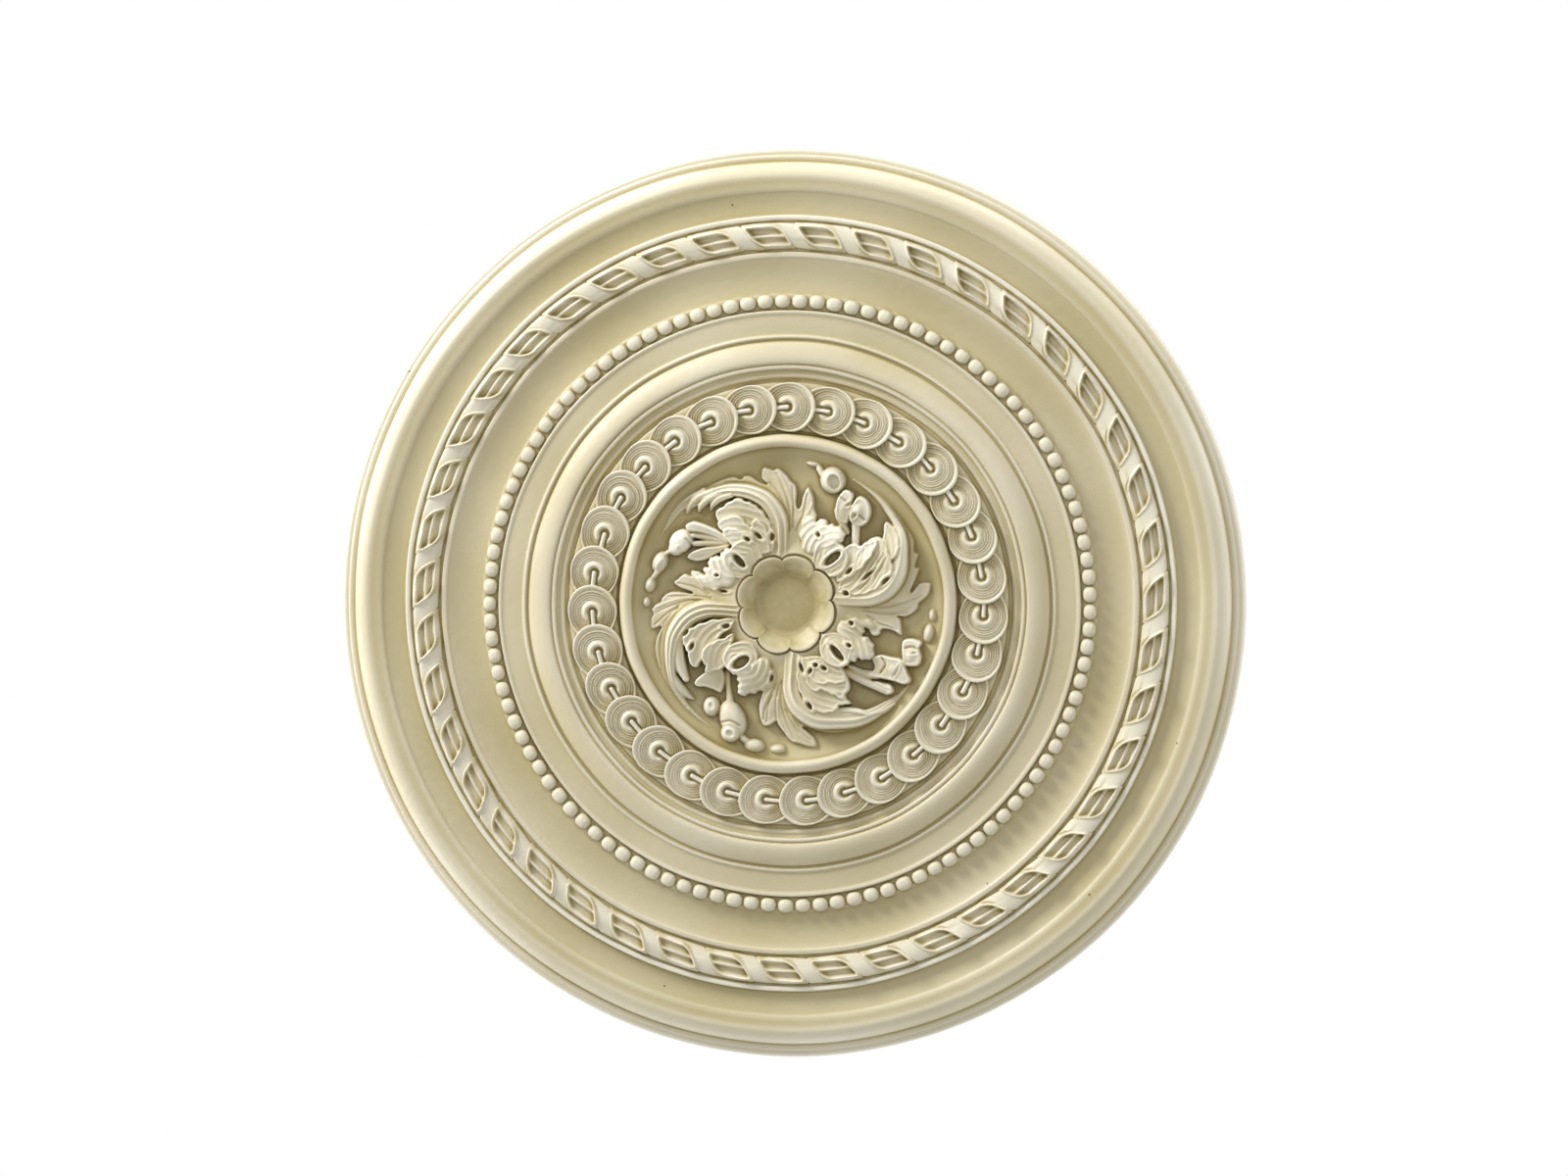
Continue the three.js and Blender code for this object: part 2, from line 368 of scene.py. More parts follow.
def ribbon_ring():
    """The ribbon, turn after turn, as one ring whose section is closed below."""
    rows = 33
    notch_half = 2.4
    notch_depth = 3.4
    rng = np.random.default_rng(11)
    lean = math.tan(math.radians(RIBBON["lean"]))
    places = ribbon_columns()
    radii = np.concatenate([
        [RIBBON["inner"] - 0.7, RIBBON["inner"] - 0.1],
        np.linspace(RIBBON["inner"] + 0.5, RIBBON["outer"] - 0.5, rows),
        [RIBBON["outer"] + 0.1, RIBBON["outer"] + 0.7],
    ])
    across = radii - RIBBON["middle"]
    half = (RIBBON["outer"] - RIBBON["inner"]) / 2
    angles = []
    heights = []
    for turn in range(RIBBON["turns"]):
        middle_angle = math.radians(RIBBON["start"]) - turn * 2 * math.pi / RIBBON["turns"]
        eye = {
            "half_along": EYE["half_along"] + rng.uniform(-0.8, 0.5),
            "half_across": EYE["half_across"] + rng.uniform(-0.4, 0.3),
            "shift": 0.5 + rng.uniform(-0.4, 0.4),
            "stick": 0.4 + rng.uniform(-0.5, 0.5),
        }
        shift = rng.uniform(-0.6, 0.6)
        for place in places:
            along = np.full(len(radii), place)
            height = ribbon_height(along - shift, radii, eye)
            for side in (1, -1):
                # A notch at the outer edge before the eye, and one at the inner edge after it
                middle = -side * (eye["half_along"] + notch_half)
                notch = notch_half - np.abs(along - shift - middle) - (half - side * across) * 0.9
                height -= notch_depth * smooth_step(notch, -0.6, 1.4)
            slant = place - across * lean
            angles.append(middle_angle - slant / RIBBON["middle"])
            heights.append(height)
    angles = np.array(angles).T
    heights = np.array(heights).T
    heights[0] = heights[-1] = RIBBON["bed"] - BURIED
    heights[1] = np.minimum(heights[1], RIBBON["bed"] + 1.0)
    heights[-2] = np.minimum(heights[-2], RIBBON["bed"] + 1.0)
    radius = np.repeat(radii[:, None], angles.shape[1], axis=1)
    under = RIBBON["bed"] - 2 * BURIED
    radius = np.vstack([radius, radius[-1:], radius[:1]])
    angles = np.vstack([angles, angles[-1:], angles[:1]])
    heights = np.vstack([heights, np.full((2, heights.shape[1]), under)])
    grid = polar_grid(radius, angles, heights)
    shape = Shape()
    add_tube(shape, grid)
    shape.shade_offsets = [np.full(shape.count, RIBBON_SHADE_OFFSET)]
    return shape


# The beads

def bead_ring():
    """Beads that are rounded squares in outline, each a little different."""
    rng = np.random.default_rng(5)
    shape = Shape()
    columns = 22
    rows = 9
    power = 2.5
    turn = np.arange(columns) * 2 * math.pi / columns
    outline = (np.abs(np.cos(turn)) ** power + np.abs(np.sin(turn)) ** power) ** (-1 / power)
    shares = np.sin(np.linspace(0, math.pi / 2, rows)[1:])
    for index in range(BEADS["count"]):
        angle = math.radians(BEADS["start"]) - index * 2 * math.pi / BEADS["count"]
        along = BEADS["along"] * (1 + rng.uniform(-0.05, 0.03))
        across = BEADS["across"] * (1 + rng.uniform(-0.04, 0.04))
        rise = BEADS["rise"] * (1 + rng.uniform(-0.05, 0.05))
        middle = BEADS["middle"] + rng.uniform(-0.25, 0.25)
        flat = 2.5 + rng.uniform(-0.2, 0.3)
        local_along = shares[:, None] * outline * along * np.cos(turn)
        local_across = shares[:, None] * outline * across * np.sin(turn)
        dome = (1 - shares ** flat) ** (1 / flat)
        height = BEADS["bed"] + rise * np.repeat(dome[:, None], columns, axis=1)
        local_along = np.vstack([local_along, local_along[-1:]])
        local_across = np.vstack([local_across, local_across[-1:]])
        height = np.vstack([height, np.full((1, columns), BEADS["bed"] - BURIED)])
        radius = middle + local_across
        place = angle + local_along / BEADS["middle"]
        grid = polar_grid(radius, place, height)
        top = polar_point(middle, angle, BEADS["bed"] + rise)
        bottom = polar_point(middle, angle, BEADS["bed"] - BURIED)
        add_dome(shape, grid, top, bottom, BEAD_SHADE_OFFSET)
    return shape


# The overlapping coins

def coin_lines(rng):
    """Distance from the eye and height above the coin's plane of its turned lines."""
    inner = [
        (0.0, -2.6), (2.4, -2.6), (3.5, -2.0), (4.2, -0.4), (4.8, 1.0), (5.6, 1.8), (6.6, 2.1), (7.6, 1.8),
        (8.4, 0.9), (9.1, 0.2), (9.8, 0.0), (10.4, -0.7),
    ]
    wide = 0.95
    narrow = 0.35
    crest = 0.3
    outer = [(11.0, 0.1)]
    for groove in COINS["grooves"]:
        depth = -1.5 * rng.uniform(0.6, 1.1)
        outer += [(groove - wide, crest), (groove - narrow, depth)]
        outer += [(groove + narrow, depth), (groove + wide, crest)]
    outer += [(19.6, 0.7), (20.1, 0.6), (20.5, 0.1)]
    return np.array(inner), np.array(outer)


def coin_edge(turn, ahead, full):
    """Distance from the eye to a coin's outline: round in front, drawn out towards the back."""
    front = ahead * np.cos(turn) + np.sqrt(full ** 2 - (ahead * np.sin(turn)) ** 2)
    long = COINS["tail"]
    a = (np.cos(turn) / long) ** 2 + (np.sin(turn) / full) ** 2
    b = ahead * np.cos(turn) / long ** 2
    back = (b + np.sqrt(b * b - a * ((ahead / long) ** 2 - 1))) / a
    return np.where(front * np.cos(turn) >= ahead, front, back)


def coin(shape, index, rng):
    """One coin with its turned lines, tilted so that it lies over the coin that comes after it."""
    columns = 84
    slot_depth = 2.4
    angle = math.radians(COINS["start"]) - index * 2 * math.pi / COINS["count"]
    angle += rng.uniform(-0.005, 0.005)
    middle = COINS["middle"] + rng.uniform(-0.4, 0.4)
    inner, outer = coin_lines(rng)
    turn = np.arange(columns) * 2 * math.pi / columns
    # Columns stand closer together at the back, where the rod lies
    turn = turn + 0.5 * np.sin(turn)
    ahead = COINS["ahead"] + rng.uniform(-0.5, 0.5)
    full = COINS["radius"] + rng.uniform(-0.3, 0.3)
    edge = coin_edge(turn, ahead, full)
    # The rings are round near the eye, and the last ones take the coin's own outline
    lines = np.vstack([inner[1:], outer])
    first = COINS["own_outline"]
    share = np.clip((lines[:, :1] - first) / (outer[-1, 0] - first), 0, 1)
    radius = np.where(share > 0, first + (edge - first) * share, lines[:, :1])
    lift = np.repeat(lines[:, 1:], columns, axis=1)
    forward = radius * np.cos(turn)
    sideways = radius * np.sin(turn)
    # The eye's ring is open towards the coin before, where the rod runs in
    slot = smooth_step(-forward, 0.0, 3.0) * smooth_step(-np.abs(sideways), -4.4, -2.2)
    slot *= smooth_step(-radius, -13.0, -9.0)
    lift = lift * (1 - slot) - slot_depth * slot
    tilt = (COINS["high"] - COINS["low"]) / (2 * full)
    height = COINS["low"] + (forward + full) * tilt + lift
    height = np.vstack([height, np.full((1, columns), COINS["bed"] - BURIED)])
    forward = np.vstack([forward, forward[-1:]])
    sideways = np.vstack([sideways, sideways[-1:]])
    grid = polar_grid(middle + sideways, angle - forward / COINS["middle"], height)
    eye_level = COINS["low"] + full * tilt
    top = polar_point(middle, angle, eye_level + inner[0, 1])
    bottom = polar_point(middle, angle, COINS["bed"] - BURIED)
    # The flat border gets a larger offset of the painted light, so it is darker than the ring round the eye
    shade_offset = COIN_SHADE_OFFSET + COIN_BORDER_SHADE_OFFSET * smooth_step(lines[:, 0], 14.5, 17.0)
    add_dome(shape, grid, top, bottom, np.append(shade_offset, shade_offset[-1]))
    add_rod(shape, angle, middle, eye_level, tilt, rng)


def add_rod(shape, angle, middle, level, tilt, rng):
    """The small rod that runs from a coin's eye back to the coin before it."""
    half_width = 1.8 + rng.uniform(-0.15, 0.2)
    front = 1.6 + rng.uniform(-0.3, 0.6)
    back = -14.0
    skew = rng.uniform(-0.08, 0.08)
    stations = np.array([0.35, 0.75, 0.95, 1.0, 1.0, 1.0, 1.0, 1.0])
    places = np.concatenate([front - np.array([0.1, 0.5, 1.0, 1.6]), np.linspace(front - 3.5, back, 4)])
    around = np.linspace(0, 2 * math.pi, 12, endpoint=False)
    rows = []
    for station, place in zip(stations, places):
        sideways = half_width * station * np.cos(around) + skew * place
        lift = 2.2 * station * np.sin(around)
        height = level + place * tilt + 0.2 + lift
        rows.append(polar_grid(middle + sideways, np.full(12, angle - place / COINS["middle"]), height))
    grid = np.array(rows)
    add_dome(shape, grid, grid[0].mean(axis=0), grid[-1].mean(axis=0))


def coin_ring():
    rng = np.random.default_rng(23)
    shape = Shape()
    for index in range(COINS["count"]):
        coin(shape, index, rng)
    return shape


# The petals round the recess

def petal_edge(angle):
    """Radius of the scalloped outline."""
    turn = (np.degrees(angle) - PETALS["start"]) / (360 / PETALS["count"])
    return PETALS["notch"] + (PETALS["tip"] - PETALS["notch"]) * np.abs(np.sin(math.pi * turn)) ** 0.55


def petal_flower():
    """Eight petals in one ring that slopes into a soft round recess."""
    columns = 288
    angle = np.arange(columns) * 2 * math.pi / columns
    edge = petal_edge(angle)
    turn = (np.degrees(angle) - PETALS["start"]) / (360 / PETALS["count"])
    valley = 1 - np.abs(np.sin(math.pi * turn)) ** 0.5
    valley_depth = 2.0
    lip_share = 0.14
    roll_depth = 1.1
    lip = PETALS["lip"]
    rise = PETALS["height"] - PETALS["floor"]
    radii = []
    heights = []
    for share in np.linspace(0.08, 1.0, 18):
        slope = lip_share * smooth_step(share, 0.82, 1.03)
        radii.append(np.full(columns, lip * share))
        heights.append(np.full(columns, PETALS["floor"] + rise * slope))
    for share in np.linspace(0.1, 1.0, 14):
        slope = lip_share + (1 - lip_share) * (0.7 * share + 0.3 * math.sin(share * math.pi / 2))
        roll = -roll_depth * smooth_step(share, 0.88, 1.04)
        cut = valley * valley_depth * smooth_step(share, 0.2, 1.0)
        radii.append(lip + (edge - lip) * share)
        heights.append(PETALS["floor"] + rise * slope + roll - cut)
    radii += [edge + 0.1, edge - 0.3]
    heights += [np.full(columns, PETALS["height"] - 5.0), np.full(columns, PETALS["floor"] - 2.0)]
    shape = Shape()
    grid = polar_grid(np.array(radii), angle[None, :], np.array(heights))
    add_dome(shape, grid, [0, 0, PETALS["floor"]], [0, 0, PETALS["floor"] - 2.0])
    radius = np.hypot(*shape.points()[:, :2].T)
    # Painted shade grows towards the recess inside the lip
    shape.shade_offsets = [PETAL_SHADE_OFFSET + RECESS_SHADE * smooth_step(-radius, -lip - 3.5, -lip + 1.5)]
    return shape


# Carving: heights over a grid, raised and cut by strokes

def smooth_path(points, steps=8, closed=False):
    """A curve through the points; further numbers in each row are carried along it."""
    rows = np.asarray(points, float)
    if closed:
        rows = np.vstack([rows[-1], rows, rows[:2]])
    else:
        rows = np.vstack([2 * rows[0] - rows[1], rows, 2 * rows[-1] - rows[-2]])
    out = []
    for index in range(1, len(rows) - 2):
        a, b, c, d = rows[index - 1:index + 3]
        for step in range(steps):
            t = step / steps
            out.append(b + 0.5 * t * (c - a + t * (2 * a - 5 * b + 4 * c - d + t * (3 * (b - c) + d - a))))
    out.append(rows[-2])
    return np.array(out)


def near_route(x, y, route):
    """Distance to a route, the side (1 on its left), and how far along in rows."""
    best = np.full(x.shape, 1e9)
    side = np.zeros(x.shape)
    place = np.zeros(x.shape)
    for index in range(len(route) - 1):
        ax, ay = route[index, :2]
        dx, dy = route[index + 1, :2] - route[index, :2]
        t = np.clip(((x - ax) * dx + (y - ay) * dy) / (dx * dx + dy * dy + 1e-9), 0, 1)
        ex = x - ax - t * dx
        ey = y - ay - t * dy
        distance = ex * ex + ey * ey
        closer = distance < best
        best = np.where(closer, distance, best)
        side = np.where(closer, np.sign(dx * ey - dy * ex), side)
        place = np.where(closer, index + t, place)
    return np.sqrt(best), side, place


def inside_loop(x, y, loop):
    """True for the places within a closed outline."""
    crossings = np.zeros(x.shape, int)
    for (ax, ay), (bx, by) in zip(loop[:-1, :2], loop[1:, :2]):
        if ay == by:
            continue
        spans = (ay > y) != (by > y)
        crossings += spans & (x < (bx - ax) * (y - ay) / (by - ay) + ax)
    return crossings % 2 == 1


def flute(turns):
    """Thin ridges at whole turns with round hollows between them."""
    return 0.4 - np.abs(np.sin(math.pi * turns)) ** 0.8


def ruffled(outline, share=0.2):
    """The outline with every stretch between two of its points bulging outwards."""
    points = np.asarray(outline, float)
    after = np.roll(points, -1, axis=0)
    along = after[:, :2] - points[:, :2]
    area = np.sum(points[:, 0] * after[:, 1] - after[:, 0] * points[:, 1])
    middle = (points + after) / 2
    middle[:, :2] += np.stack([along[:, 1], -along[:, 0]], axis=1) * share * np.sign(area)
    return np.stack([points, middle], axis=1).reshape(-1, points.shape[1])


def smooth_max(a, b, blend):
    """The higher of two surfaces, with the line where they meet softened."""
    share = np.clip(0.5 + 0.5 * (a - b) / blend, 0, 1)
    return b + (a - b) * share + blend * share * (1 - share)


class Relief:
    """Heights over scattered points, carved in a frame that can be turned a quarter at a time."""

    def __init__(self, x, y, height):
        self.x = x
        self.y = y
        self.height = height
        self.turn(0)

    def turn(self, quarters):
        angle = math.radians(90 * quarters)
        self.u = self.x * math.cos(angle) + self.y * math.sin(angle)
        self.v = self.y * math.cos(angle) - self.x * math.sin(angle)

    def near(self, points, margin):
        low = points[:, :2].min(axis=0) - margin
        high = points[:, :2].max(axis=0) + margin
        inside = (self.u > low[0]) & (self.u < high[0]) & (self.v > low[1]) & (self.v < high[1])
        return np.flatnonzero(inside)

    def raise_to(self, picked, value, where, blend):
        here = self.height[picked]
        self.height[picked] = np.where(where, smooth_max(here, value, blend), here)

    def band(self, points, foot=None, full=2.0, ripples=0, deep=0.0, lip=0.0, blend=0.7):
        """Raises a leaf or rod. Each point has x, y, half width and crest height."""
        route = smooth_path(points)
        picked = self.near(route, route[:, 2].max() + 1)
        distance, side, place = near_route(self.u[picked], self.v[picked], route)
        rows = np.arange(len(route))
        half = np.maximum(np.interp(place, rows, route[:, 2]), 0.05)
        crest = np.interp(place, rows, route[:, 3])
        q = distance / half
        fall = 1 - (1 - np.clip(q, 0, 1) ** full) ** (1 / full)
        bottom = DISH["floor"] - 2 if foot is None else crest - foot
        value = crest - (crest - bottom) * fall
        if ripples:
            value = value + 2 * deep * flute(0.5 * ripples * q * side) * (1 - np.clip(q, 0, 1) ** 4)
        if lip:
            value = value + lip * np.exp(-((q - 0.78) / 0.14) ** 2)
        self.raise_to(picked, value, q < 1, blend)

    def line(self, points, lift):
        """Adds a thin raised line, or cuts one where lift is below zero. Points have x, y and half width."""
        route = smooth_path(points)
        picked = self.near(route, route[:, 2].max() + 1)
        distance, _, place = near_route(self.u[picked], self.v[picked], route)
        rows = np.arange(len(route))
        half = np.maximum(np.interp(place, rows, route[:, 2]), 0.05)
        q = np.clip(distance / half, 0, 1)
        fade = np.clip(half / max(route[:, 2].max(), 0.1) * 1.6, 0, 1)
        self.height[picked] += lift * (1 - q * q) ** 2 * fade

    def flutes(self, first, last, count, half, depth):
        """Cuts parallel hollows between two routes; they thin out towards both ends."""
        first = np.asarray(first, float)
        last = np.asarray(last, float)
        taper = half * np.concatenate([[0.4], np.ones(len(first) - 2), [0.3]])
        for index in range(count):
            share = index / max(count - 1, 1)
            route = first * (1 - share) + last * share
            self.line(np.column_stack([route, taper]), -depth)

    def knob(self, x, y, along, across, turn, crest):
        """Raises an oval boss, turned by an angle in degrees."""
        foot = 12.0
        full = 2.3
        picked = self.near(np.array([[x, y]]), max(along, across))
        a, b = self.local(picked, x, y, turn)
        q = np.hypot(a / along, b / across)
        value = crest - foot * (1 - (1 - np.clip(q, 0, 1) ** full) ** (1 / full))
        self.raise_to(picked, value, q < 1, 0.4)

    def local(self, picked, x, y, turn):
        angle = math.radians(turn)
        dx = self.u[picked] - x
        dy = self.v[picked] - y
        return dx * math.cos(angle) + dy * math.sin(angle), dy * math.cos(angle) - dx * math.sin(angle)

    def pit(self, x, y, along, across, turn, depth, rim=0.9):
        """Cuts an oval eyelet with a raised rim."""
        picked = self.near(np.array([[x, y]]), max(along, across) * 2.4)
        a, b = self.local(picked, x, y, turn)
        q = np.hypot(a / along, b / across)
        beyond = (q - 1) * min(along, across)
        self.height[picked] += rim * np.exp(-((beyond - 1.1) / 0.9) ** 2) * smooth_step(-q, -3.5, -1.6)
        self.height[picked] -= depth * smooth_step(-beyond, -0.3, 1.3)

    def sheet(self, outline, dome, rim, edge, foot, blend=0.6, folds=None):
        """Raises a blade inside a closed outline. Each point has x, y and the blade's height there.

        Folds are ridges that run round a middle: its x and y, their spacing and their depth.
        """
        loop = smooth_path(outline, 5, closed=True)
        picked = self.near(loop, 1)
        picked = picked[inside_loop(self.u[picked], self.v[picked], loop)]
        x = self.u[picked]
        y = self.v[picked]
        distance, _, _ = near_route(x, y, loop)
        total = np.zeros(x.shape)
        weight = np.zeros(x.shape)
        for px, py, level in loop[::2]:
            near = 1 / ((x - px) ** 2 + (y - py) ** 2 + 2.0) ** 1.4
            total += near * level
            weight += near
        value = total / weight + dome * smooth_step(distance, 0, max(distance.max(), 1e-3))
        value = value + rim * np.exp(-((distance - 1.4) / 1.05) ** 2)
        if folds:
            turn = np.arctan2(y - folds[1], x - folds[0])
            away = np.hypot(x - folds[0], y - folds[1])
            away = away + 1.2 * np.sin(2.1 * turn + folds[0]) + 0.5 * np.sin(6 * turn)
            depth = folds[3] * (0.7 + 0.3 * np.sin(3 * turn + folds[1]))
            value = value + depth * flute(away / folds[2]) * smooth_step(distance, 0.6, 3.0)
        fall = np.clip(1 - distance / edge, 0, 1)
        value = value - foot * (1 - np.sqrt(np.maximum(1 - fall ** 2, 0)))
        self.raise_to(picked, value, True, blend)


def collar(relief):
    """The ground that the leaves share round the petals."""
    inner = [34, 42.6]
    shoulder = [44, 40.6]
    foot = [66, 31.0]
    radius = np.hypot(relief.x, relief.y)
    rise = np.vstack([[inner, shoulder], bow(shoulder, foot, 0.8, 10)])
    ground = np.interp(radius, rise[:, 0], rise[:, 1], right=0)
    relief.height = np.where(radius < foot[0], smooth_max(relief.height, ground, 1.5), relief.height)


def petal_groove(relief):
    """The narrow groove that sets the petals off from the leaves."""
    level = 38.0
    radius = np.hypot(relief.x, relief.y)
    gap = radius - petal_edge(np.arctan2(relief.y, relief.x))
    relief.height -= (relief.height - level) * smooth_step(-gap, -2.1, -0.9)


def sinking(outline, lift, start, slope):
    """The outline raised by lift, and falling away by the slope beyond start."""
    return [(x, y, level + lift - slope * max(start - x, 0)) for x, y, level in outline]


def leaf_back(relief, leaf):
    """The low leaf that lies in the dish behind the scroll, with its tall tips and its long tail."""
    lift = 1.3
    begin = 60
    reach = 20
    raised = []
    for x, y, level in leaf["back"]:
        raised.append((x, y, level + lift * min(max(math.hypot(x, y) - begin, 0) / reach, 1)))
    relief.sheet(raised, dome=1.2, rim=0.6, edge=2.4, foot=4.5)
    for vein in leaf["veins"]:
        relief.line([(x, y, 1.7 - 0.3 * row) for row, (x, y) in enumerate(vein)], -1.1)
    for edge in leaf["ridges"]:
        relief.line([(x, y, 1.5) for x, y in edge], 0.8)


def scroll(relief, leaf):
    """The main blade: out of the centre, up and over to the left, in parallel folds."""
    relief.band(leaf["scroll"], full=3.0, ripples=leaf["folds"], deep=leaf["deep"], lip=0.5)
    for drop in leaf["drops"]:
        relief.band(drop, foot=7, lip=0.5, blend=0.3)


def turned_fold(relief, leaf):
    """The lobes that turn over inside the scroll, each one in front of the last."""
    x, y = leaf["eye"]
    for index, flap in enumerate(leaf["flaps"]):
        folds = (x, y, 5.6 - 0.4 * index, 1.0)
        turned = sinking(ruffled(flap, 0.12), 0.6, -44, 0.2)
        relief.sheet(turned, dome=-0.5, rim=1.3, edge=2.8, foot=8, blend=0.35, folds=folds)
    for first, last, count in leaf.get("pleats", []):
        relief.flutes(first, last, count, 1.4, 1.3)


def curl(relief, leaf):
    """The second scroll, rolled round a hole, with its fanned lobes in front."""
    x, y = leaf["eye"]
    front = sinking(leaf["front"], 1.2, -50, 0.16)
    relief.sheet(ruffled(front), dome=1.2, rim=1.0, edge=4.0, foot=12, blend=0.5, folds=(x, y, 5.4, 1.4))
    relief.sheet(leaf["curl"], dome=0.9, rim=1.0, edge=2.4, foot=6, blend=0.4, folds=(x, y, 4.3, 0.9))
    relief.pit(x, y, *leaf["hole"], 12, 1.2)


def eyelets(relief, leaf):
    """The small drilled holes in the lobes."""
    for x, y, along, across, turn in leaf["eyelets"]:
        relief.pit(x, y, along, across, turn, 8.0, 1.1)


def bud_chain(relief, leaf):
    """The stems, small leaves, buds and drops that hang between this leaf and the next."""
    for stem in leaf["stems"]:
        relief.band(stem, foot=7, full=2.4, lip=0.5, blend=0.5)
    for sepal in leaf["sepals"]:
        relief.sheet(sepal, dome=0.6, rim=0.9, edge=2.2, foot=9, blend=0.4)
    for x, y, along, across, turn, crest in leaf["buds"]:
        relief.knob(x, y, along, across, turn, crest)
    for x, y, along, across, turn, depth in leaf["dents"]:
        relief.pit(x, y, along, across, turn, depth, 0.7)
    for cut in leaf["cuts"]:
        relief.line([(x, y, 1.3) for x, y in cut], -2.6)


